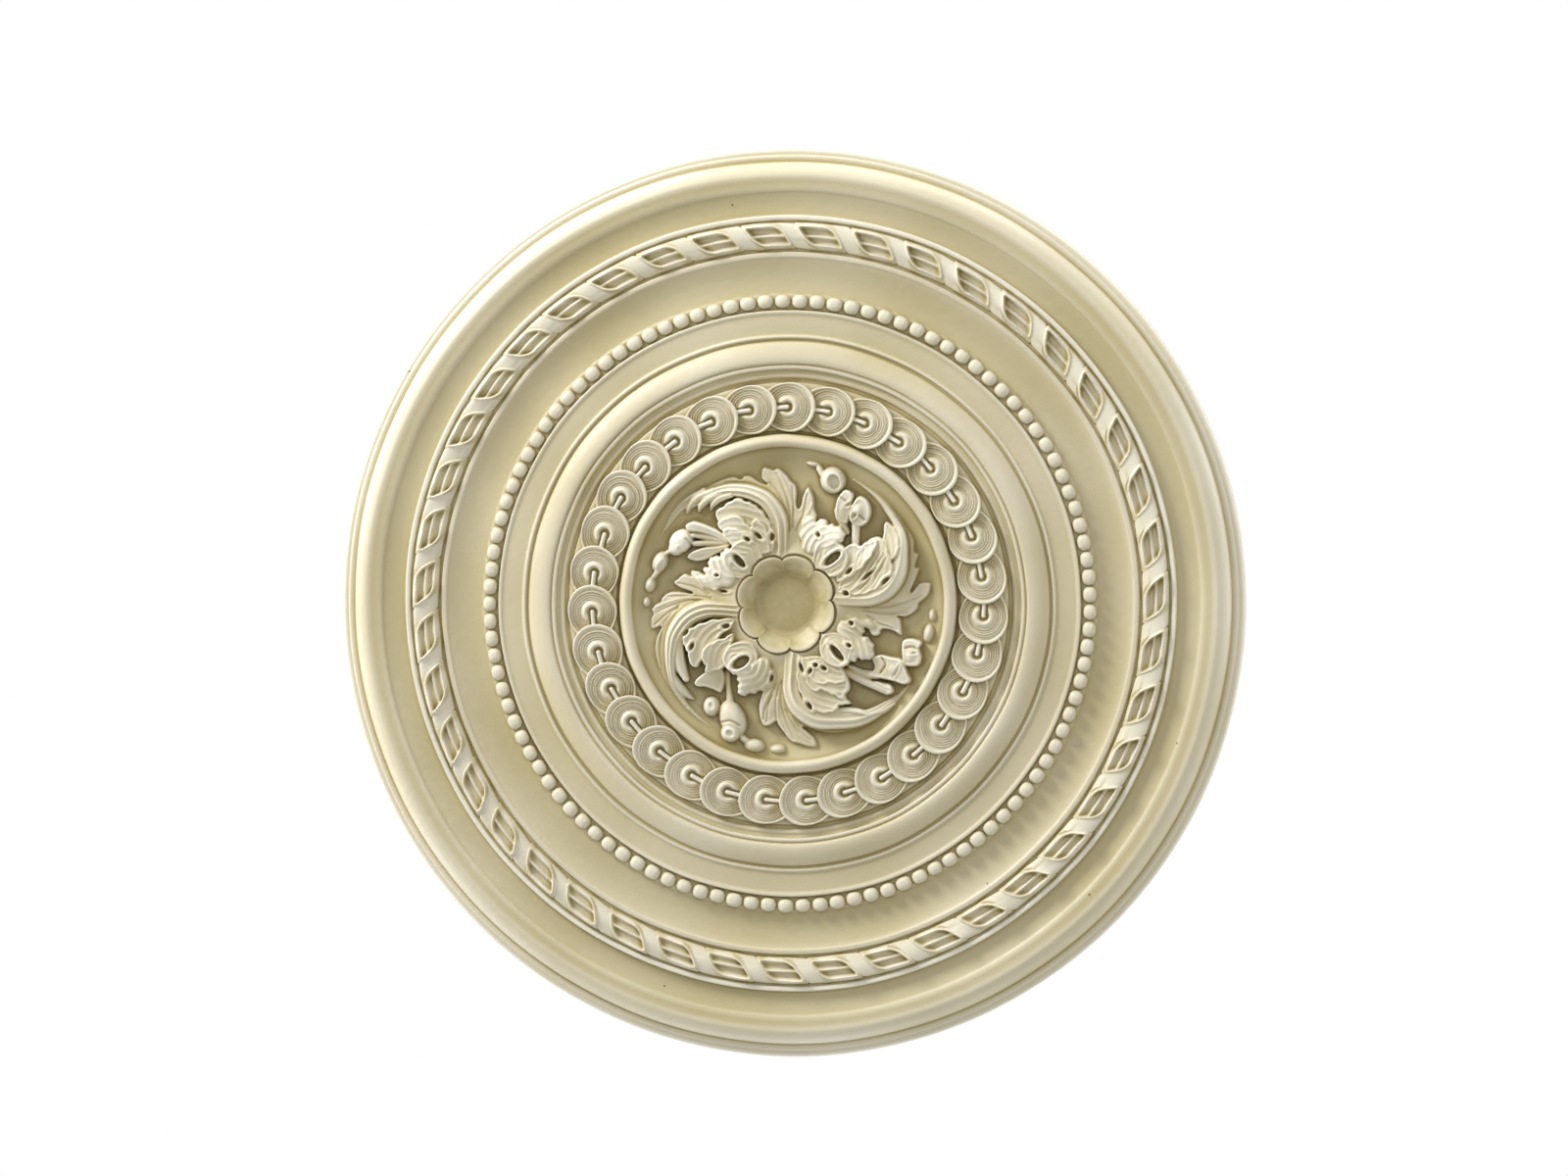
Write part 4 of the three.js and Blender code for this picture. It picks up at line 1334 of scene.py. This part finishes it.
# Value of the painted light attribute and the colour that the plaster is multiplied by there: painted shade
# and patina in hollows, painted highlight on raised edges
PAINTED_LIGHT_AND_PATINA = [(0.04, (1.0, 1.0, 1.0)), (0.20, (0.87, 0.857, 0.82)), (0.48, (0.722, 0.677, 0.533)),
          (0.68, (0.574, 0.518, 0.312)), (0.90, (0.365, 0.300, 0.123))]
# How finely the noises turn, and the depth in metres of the bumps that two of them make
CLOUD_SCALE = 14.0
BRUSH_SCALE = 160.0
GRAIN_SCALE = 900.0
BRUSH_DEPTH = 0.0007
GRAIN_DEPTH = 0.0003
# Roughness along the brush marks
SMOOTHEST = 0.42
ROUGHEST = 0.56

# Room view places of the pinholes left by air bubbles in the cast
PINHOLES = [
    (-322.5, 193.4), (-47.5, 332.2), (-105.0, -321.1), (166.7, -232.5), (252.0, -240.7), (324.3, -114.3),
]
PINHOLE_RADIUS = 0.7
# Colour of the painted shade in the pinholes
PINHOLE_SHADE_COLOUR = (0.34, 0.28, 0.17)


def pinholes(tree, place, colour):
    """Paints the shade in every pinhole as a dark spot in the colour; the pinholes themselves are not cut.
    """
    for x, y in PINHOLES:
        away = node(tree, "ShaderNodeVectorMath", operation="DISTANCE")
        tree.links.new(place, away.inputs[0])
        away.inputs[1].default_value = to_world((x, y, front_height(math.hypot(x, y))))
        edge = PINHOLE_RADIUS * MM
        spot = remap(tree, away.outputs["Value"], edge, 1.7 * edge, 1.0, 0.0)
        colour = mix_colour(tree, "MULTIPLY", spot, colour, PINHOLE_SHADE_COLOUR)
    return colour


def plaster_material():
    material = bpy.data.materials.new("cream_plaster")
    material.use_nodes = True
    tree = material.node_tree
    shader = tree.nodes["Principled BSDF"]
    place = node(tree, "ShaderNodeTexCoord").outputs["Object"]
    cloud = noise(tree, place, CLOUD_SCALE, 4.0)
    grain = noise(tree, place, GRAIN_SCALE, 3.0)
    brush = noise(tree, place, BRUSH_SCALE, 4.0, 0.6)
    base = ramp(tree, cloud, CLOUDS)
    # The plaster's colour is darkened by painted shade and patina in hollows and lightened by a painted
    # highlight on raised edges
    painted_light_and_patina = node(tree, "ShaderNodeAttribute", attribute_name="painted_light_and_patina").outputs["Fac"]
    light_and_patina_colour = ramp(tree, painted_light_and_patina, PAINTED_LIGHT_AND_PATINA)
    toned = mix_colour(tree, "MULTIPLY", 1.0, base, light_and_patina_colour)
    tree.links.new(pinholes(tree, place, toned), shader.inputs["Base Color"])
    rough = remap(tree, brush, 0.3, 0.7, SMOOTHEST, ROUGHEST)
    tree.links.new(rough, shader.inputs["Roughness"])
    shader.inputs["Specular IOR Level"].default_value = 0.6
    fine = bump(tree, grain, 0.25, GRAIN_DEPTH)
    coarse = bump(tree, brush, 0.5, BRUSH_DEPTH, fine)
    tree.links.new(coarse, shader.inputs["Normal"])
    return material


# Pieces

# Cell and margin of the height map in millimetres, and how many cells a cell of the broad map spans
MAP_CELL = 0.8
MAP_MARGIN = 12
BROAD = 4
# How many times each of the three maps is softened
CLOSE_BLUR = 5
WIDE_BLUR = 36
BROAD_BLUR = 20
# For the three height maps of the painted light: the depth that counts in full, its weight, and the least
# share of it
HOLLOWS = [(1.8, 0.22, -1.0), (4.0, 0.10, -1.0), (9.0, 0.26, -0.8)]
# Edges that turn by more degrees than this are shaded sharp
SHARP_EDGE = 55


def blur(field, passes):
    """Softens a square map of heights."""
    for _ in range(passes):
        field = (np.roll(field, 1, 0) + 2 * field + np.roll(field, -1, 0)) / 4
        field = (np.roll(field, 1, 1) + 2 * field + np.roll(field, -1, 1)) / 4
    return field


def height_maps(shapes):
    """Maps of the rose's height, softened over three reaches, each with its cell size."""
    count = int(2 * (ROSE_RADIUS + MAP_MARGIN) / MAP_CELL / BROAD) * BROAD
    middle = count / 2
    steps = (np.arange(count) - middle + 0.5) * MAP_CELL
    x, y = np.meshgrid(steps, steps)
    radius = np.hypot(x, y)
    field = np.where(radius < ROSE_RADIUS, front_height(radius), 0.0)
    for shape in shapes:
        points = shape.points()
        column = np.clip((points[:, 0] / MAP_CELL + middle).astype(int), 0, count - 1)
        row = np.clip((points[:, 1] / MAP_CELL + middle).astype(int), 0, count - 1)
        np.maximum.at(field, (row, column), points[:, 2])
    coarse = field.reshape(count // BROAD, BROAD, count // BROAD, BROAD).mean(axis=(1, 3))
    close = blur(field, CLOSE_BLUR)
    wide = blur(field, WIDE_BLUR)
    return [(close, MAP_CELL), (wide, MAP_CELL), (blur(coarse, BROAD_BLUR), MAP_CELL * BROAD)]


def sample(field, cell, points):
    """The map's value at each point, blended between the four nearest cells."""
    last = field.shape[0] - 2
    x = np.clip(points[:, 0] / cell + field.shape[0] / 2 - 0.5, 0, last)
    y = np.clip(points[:, 1] / cell + field.shape[0] / 2 - 0.5, 0, last)
    column = x.astype(int)
    row = y.astype(int)
    x -= column
    y -= row
    lower = field[row, column] * (1 - x) + field[row, column + 1] * x
    upper = field[row + 1, column] * (1 - x) + field[row + 1, column + 1] * x
    return lower * (1 - y) + upper * y


def painted_light_value(points, maps):
    """The painted light: above 0.5 painted shade and patina in hollows, below 0.5 painted highlight on
    raised edges.
    """
    value = 0.0
    for (field, cell), (depth, weight, least) in zip(maps, HOLLOWS):
        above = sample(field, cell, points) - points[:, 2]
        value = value + weight * np.clip(above / depth, least, 1)
    return np.clip(0.5 + value, 0, 1)


def make_piece(name, shape, material, maps):
    points = shape.points()
    mesh = bpy.data.meshes.new(name)
    mesh.from_pydata(to_world(points).tolist(), [], shape.faces)
    mesh.shade_smooth()
    mesh.set_sharp_from_angle(angle=math.radians(SHARP_EDGE))
    # The painted light: shade in hollows, highlight on raised edges, plus each part's offset
    attribute = mesh.attributes.new("painted_light_and_patina", "FLOAT", "POINT")
    tone = painted_light_value(points, maps) + np.concatenate(shape.shade_offsets)
    attribute.data.foreach_set("value", tone.astype(np.float32))
    mesh.materials.append(material)
    piece = bpy.data.objects.new(name, mesh)
    bpy.context.collection.objects.link(piece)
    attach(piece, BODY)
    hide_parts(NODE)
    return piece


def build_rose():
    shapes = {
        "turned_body": turned_body(),
        "ribbon_ring": ribbon_ring(),
        "bead_ring": bead_ring(),
        "coin_ring": coin_ring(),
        "petal_flower": petal_flower(),
    }
    for index, shape in enumerate(leaf_ring()):
        shapes["leaf_quarter_%d" % (index + 1)] = shape
    maps = height_maps([shape for name, shape in shapes.items() if name != "turned_body"])
    material = plaster_material()
    for name, shape in shapes.items():
        make_piece(name, shape, material, maps)


# Room, light and camera

# Brightness of the surroundings by height, from -1 straight below to 1 straight above
SKY = [
    (-1.0, 0.16), (-0.85, 0.16), (-0.55, 0.10), (-0.32, 0.25), (-0.10, 1.0), (0.15, 1.0), (0.5, 0.45),
    (1.0, 0.4),
]
SKY_STRENGTH = 2.25
# The side that the surroundings are brightest on, and their share of the strength away from and towards it
SKY_SIDE = (-0.70, -0.71, 0.0)
SKY_DIM = 0.62
SKY_BRIGHT = 1.6
KEY = {"place": (-2.7, -2.5, -1.5), "size": 1.3, "power": 130.0}
FRONT_LIGHT = {"place": (0.87, -0.87, -3.8), "size": 2.0, "power": 46.0}
LIGHT_ABOVE = {"place": (0.0, 0.0, 4.0), "size": 4.0, "power": 60.0}
FLOOR_HALF = 30.0
FLOOR_LEVEL = -6.4
IMAGE_WIDTH = 1600
IMAGE_HEIGHT = 1200
SENSOR = 36.0
CAMERA_AWAY = 6.0
PIXELS_PER_METRE = 1218.4
# Where the middle of the rose's face lies in the photograph, and that face's height under the ceiling
ROSE_PIXEL = (806.9, 615.2)
AIM_DEPTH = 0.009
# How far the camera stands off the rose's axis, and to which side, in degrees
OFF_AXIS = 7.2
OFF_AXIS_TURN = 17.0


def area_light(name, place, size, power):
    data = bpy.data.lights.new(name, "AREA")
    data.shape = "DISK"
    data.size = size
    data.energy = power
    light = bpy.data.objects.new(name, data)
    light.location = place
    light.rotation_mode = "QUATERNION"
    light.rotation_quaternion = (-Vector(place)).to_track_quat("-Z", "Y")
    bpy.context.collection.objects.link(light)


def add_world():
    world = bpy.data.worlds.new("studio")
    bpy.context.scene.world = world
    world.use_nodes = True
    tree = world.node_tree
    tree.nodes.clear()
    direction = node(tree, "ShaderNodeTexCoord").outputs["Generated"]
    split = node(tree, "ShaderNodeSeparateXYZ")
    tree.links.new(direction, split.inputs["Vector"])
    level = remap(tree, split.outputs["Z"], -1.0, 1.0, 0.0, 1.0, "LINEAR")
    bands = ramp(tree, level, [((z + 1) / 2, (grey, grey, grey)) for z, grey in SKY])
    side = node(tree, "ShaderNodeVectorMath", operation="DOT_PRODUCT")
    tree.links.new(direction, side.inputs[0])
    side.inputs[1].default_value = SKY_SIDE
    dim = SKY_DIM * SKY_STRENGTH
    bright = SKY_BRIGHT * SKY_STRENGTH
    strength = remap(tree, side.outputs["Value"], -1.0, 1.0, dim, bright, "LINEAR")
    soft = node(tree, "ShaderNodeBackground")
    tree.links.new(bands, soft.inputs["Color"])
    tree.links.new(strength, soft.inputs["Strength"])
    white = node(tree, "ShaderNodeBackground")
    white.inputs["Color"].default_value = (1, 1, 1, 1)
    ray = node(tree, "ShaderNodeLightPath").outputs["Is Camera Ray"]
    mix = node(tree, "ShaderNodeMixShader")
    tree.links.new(ray, mix.inputs["Fac"])
    tree.links.new(soft.outputs["Background"], mix.inputs[1])
    tree.links.new(white.outputs["Background"], mix.inputs[2])
    out = node(tree, "ShaderNodeOutputWorld")
    tree.links.new(mix.outputs["Shader"], out.inputs["Surface"])


def add_floor():
    signs = [(-1, -1), (1, -1), (1, 1), (-1, 1)]
    mesh = bpy.data.meshes.new("floor")
    corners = [(x * FLOOR_HALF, y * FLOOR_HALF, FLOOR_LEVEL) for x, y in signs]
    mesh.from_pydata(corners, [], [(0, 1, 2, 3)])
    floor = bpy.data.objects.new("floor", mesh)
    bpy.context.collection.objects.link(floor)
    material = bpy.data.materials.new("pale_floor")
    material.use_nodes = True
    shader = material.node_tree.nodes["Principled BSDF"]
    shader.inputs["Base Color"].default_value = (0.8, 0.8, 0.8, 1)
    shader.inputs["Roughness"].default_value = 0.9
    mesh.materials.append(material)
    floor.visible_diffuse = False
    floor.visible_glossy = False
    floor.visible_shadow = False


def add_camera():
    data = bpy.data.cameras.new("camera")
    data.sensor_width = SENSOR
    data.lens = SENSOR * PIXELS_PER_METRE * CAMERA_AWAY / IMAGE_WIDTH
    data.clip_end = 100.0
    off = math.radians(OFF_AXIS)
    turn = math.radians(OFF_AXIS_TURN)
    away = (math.sin(off) * math.cos(turn), -math.sin(off) * math.sin(turn), -math.cos(off))
    place = CAMERA_AWAY * Vector(away)
    left = (ROSE_PIXEL[0] - IMAGE_WIDTH / 2) / PIXELS_PER_METRE
    above = (ROSE_PIXEL[1] - IMAGE_HEIGHT / 2) / PIXELS_PER_METRE
    aim = Vector((-left, -above, -AIM_DEPTH))
    forward = (aim - place).normalized()
    right = forward.cross(Vector((0, -1, 0))).normalized()
    up = right.cross(forward)
    camera = bpy.data.objects.new("camera", data)
    camera.matrix_world = Matrix((
        (right.x, up.x, -forward.x, place.x),
        (right.y, up.y, -forward.y, place.y),
        (right.z, up.z, -forward.z, place.z),
        (0, 0, 0, 1),
    ))
    bpy.context.collection.objects.link(camera)
    bpy.context.scene.camera = camera


build_rose()
add_world()
add_floor()
area_light("key", **KEY)
area_light("front", **FRONT_LIGHT)
area_light("above", **LIGHT_ABOVE)
add_camera()
bpy.context.scene.view_settings.view_transform = "Standard"
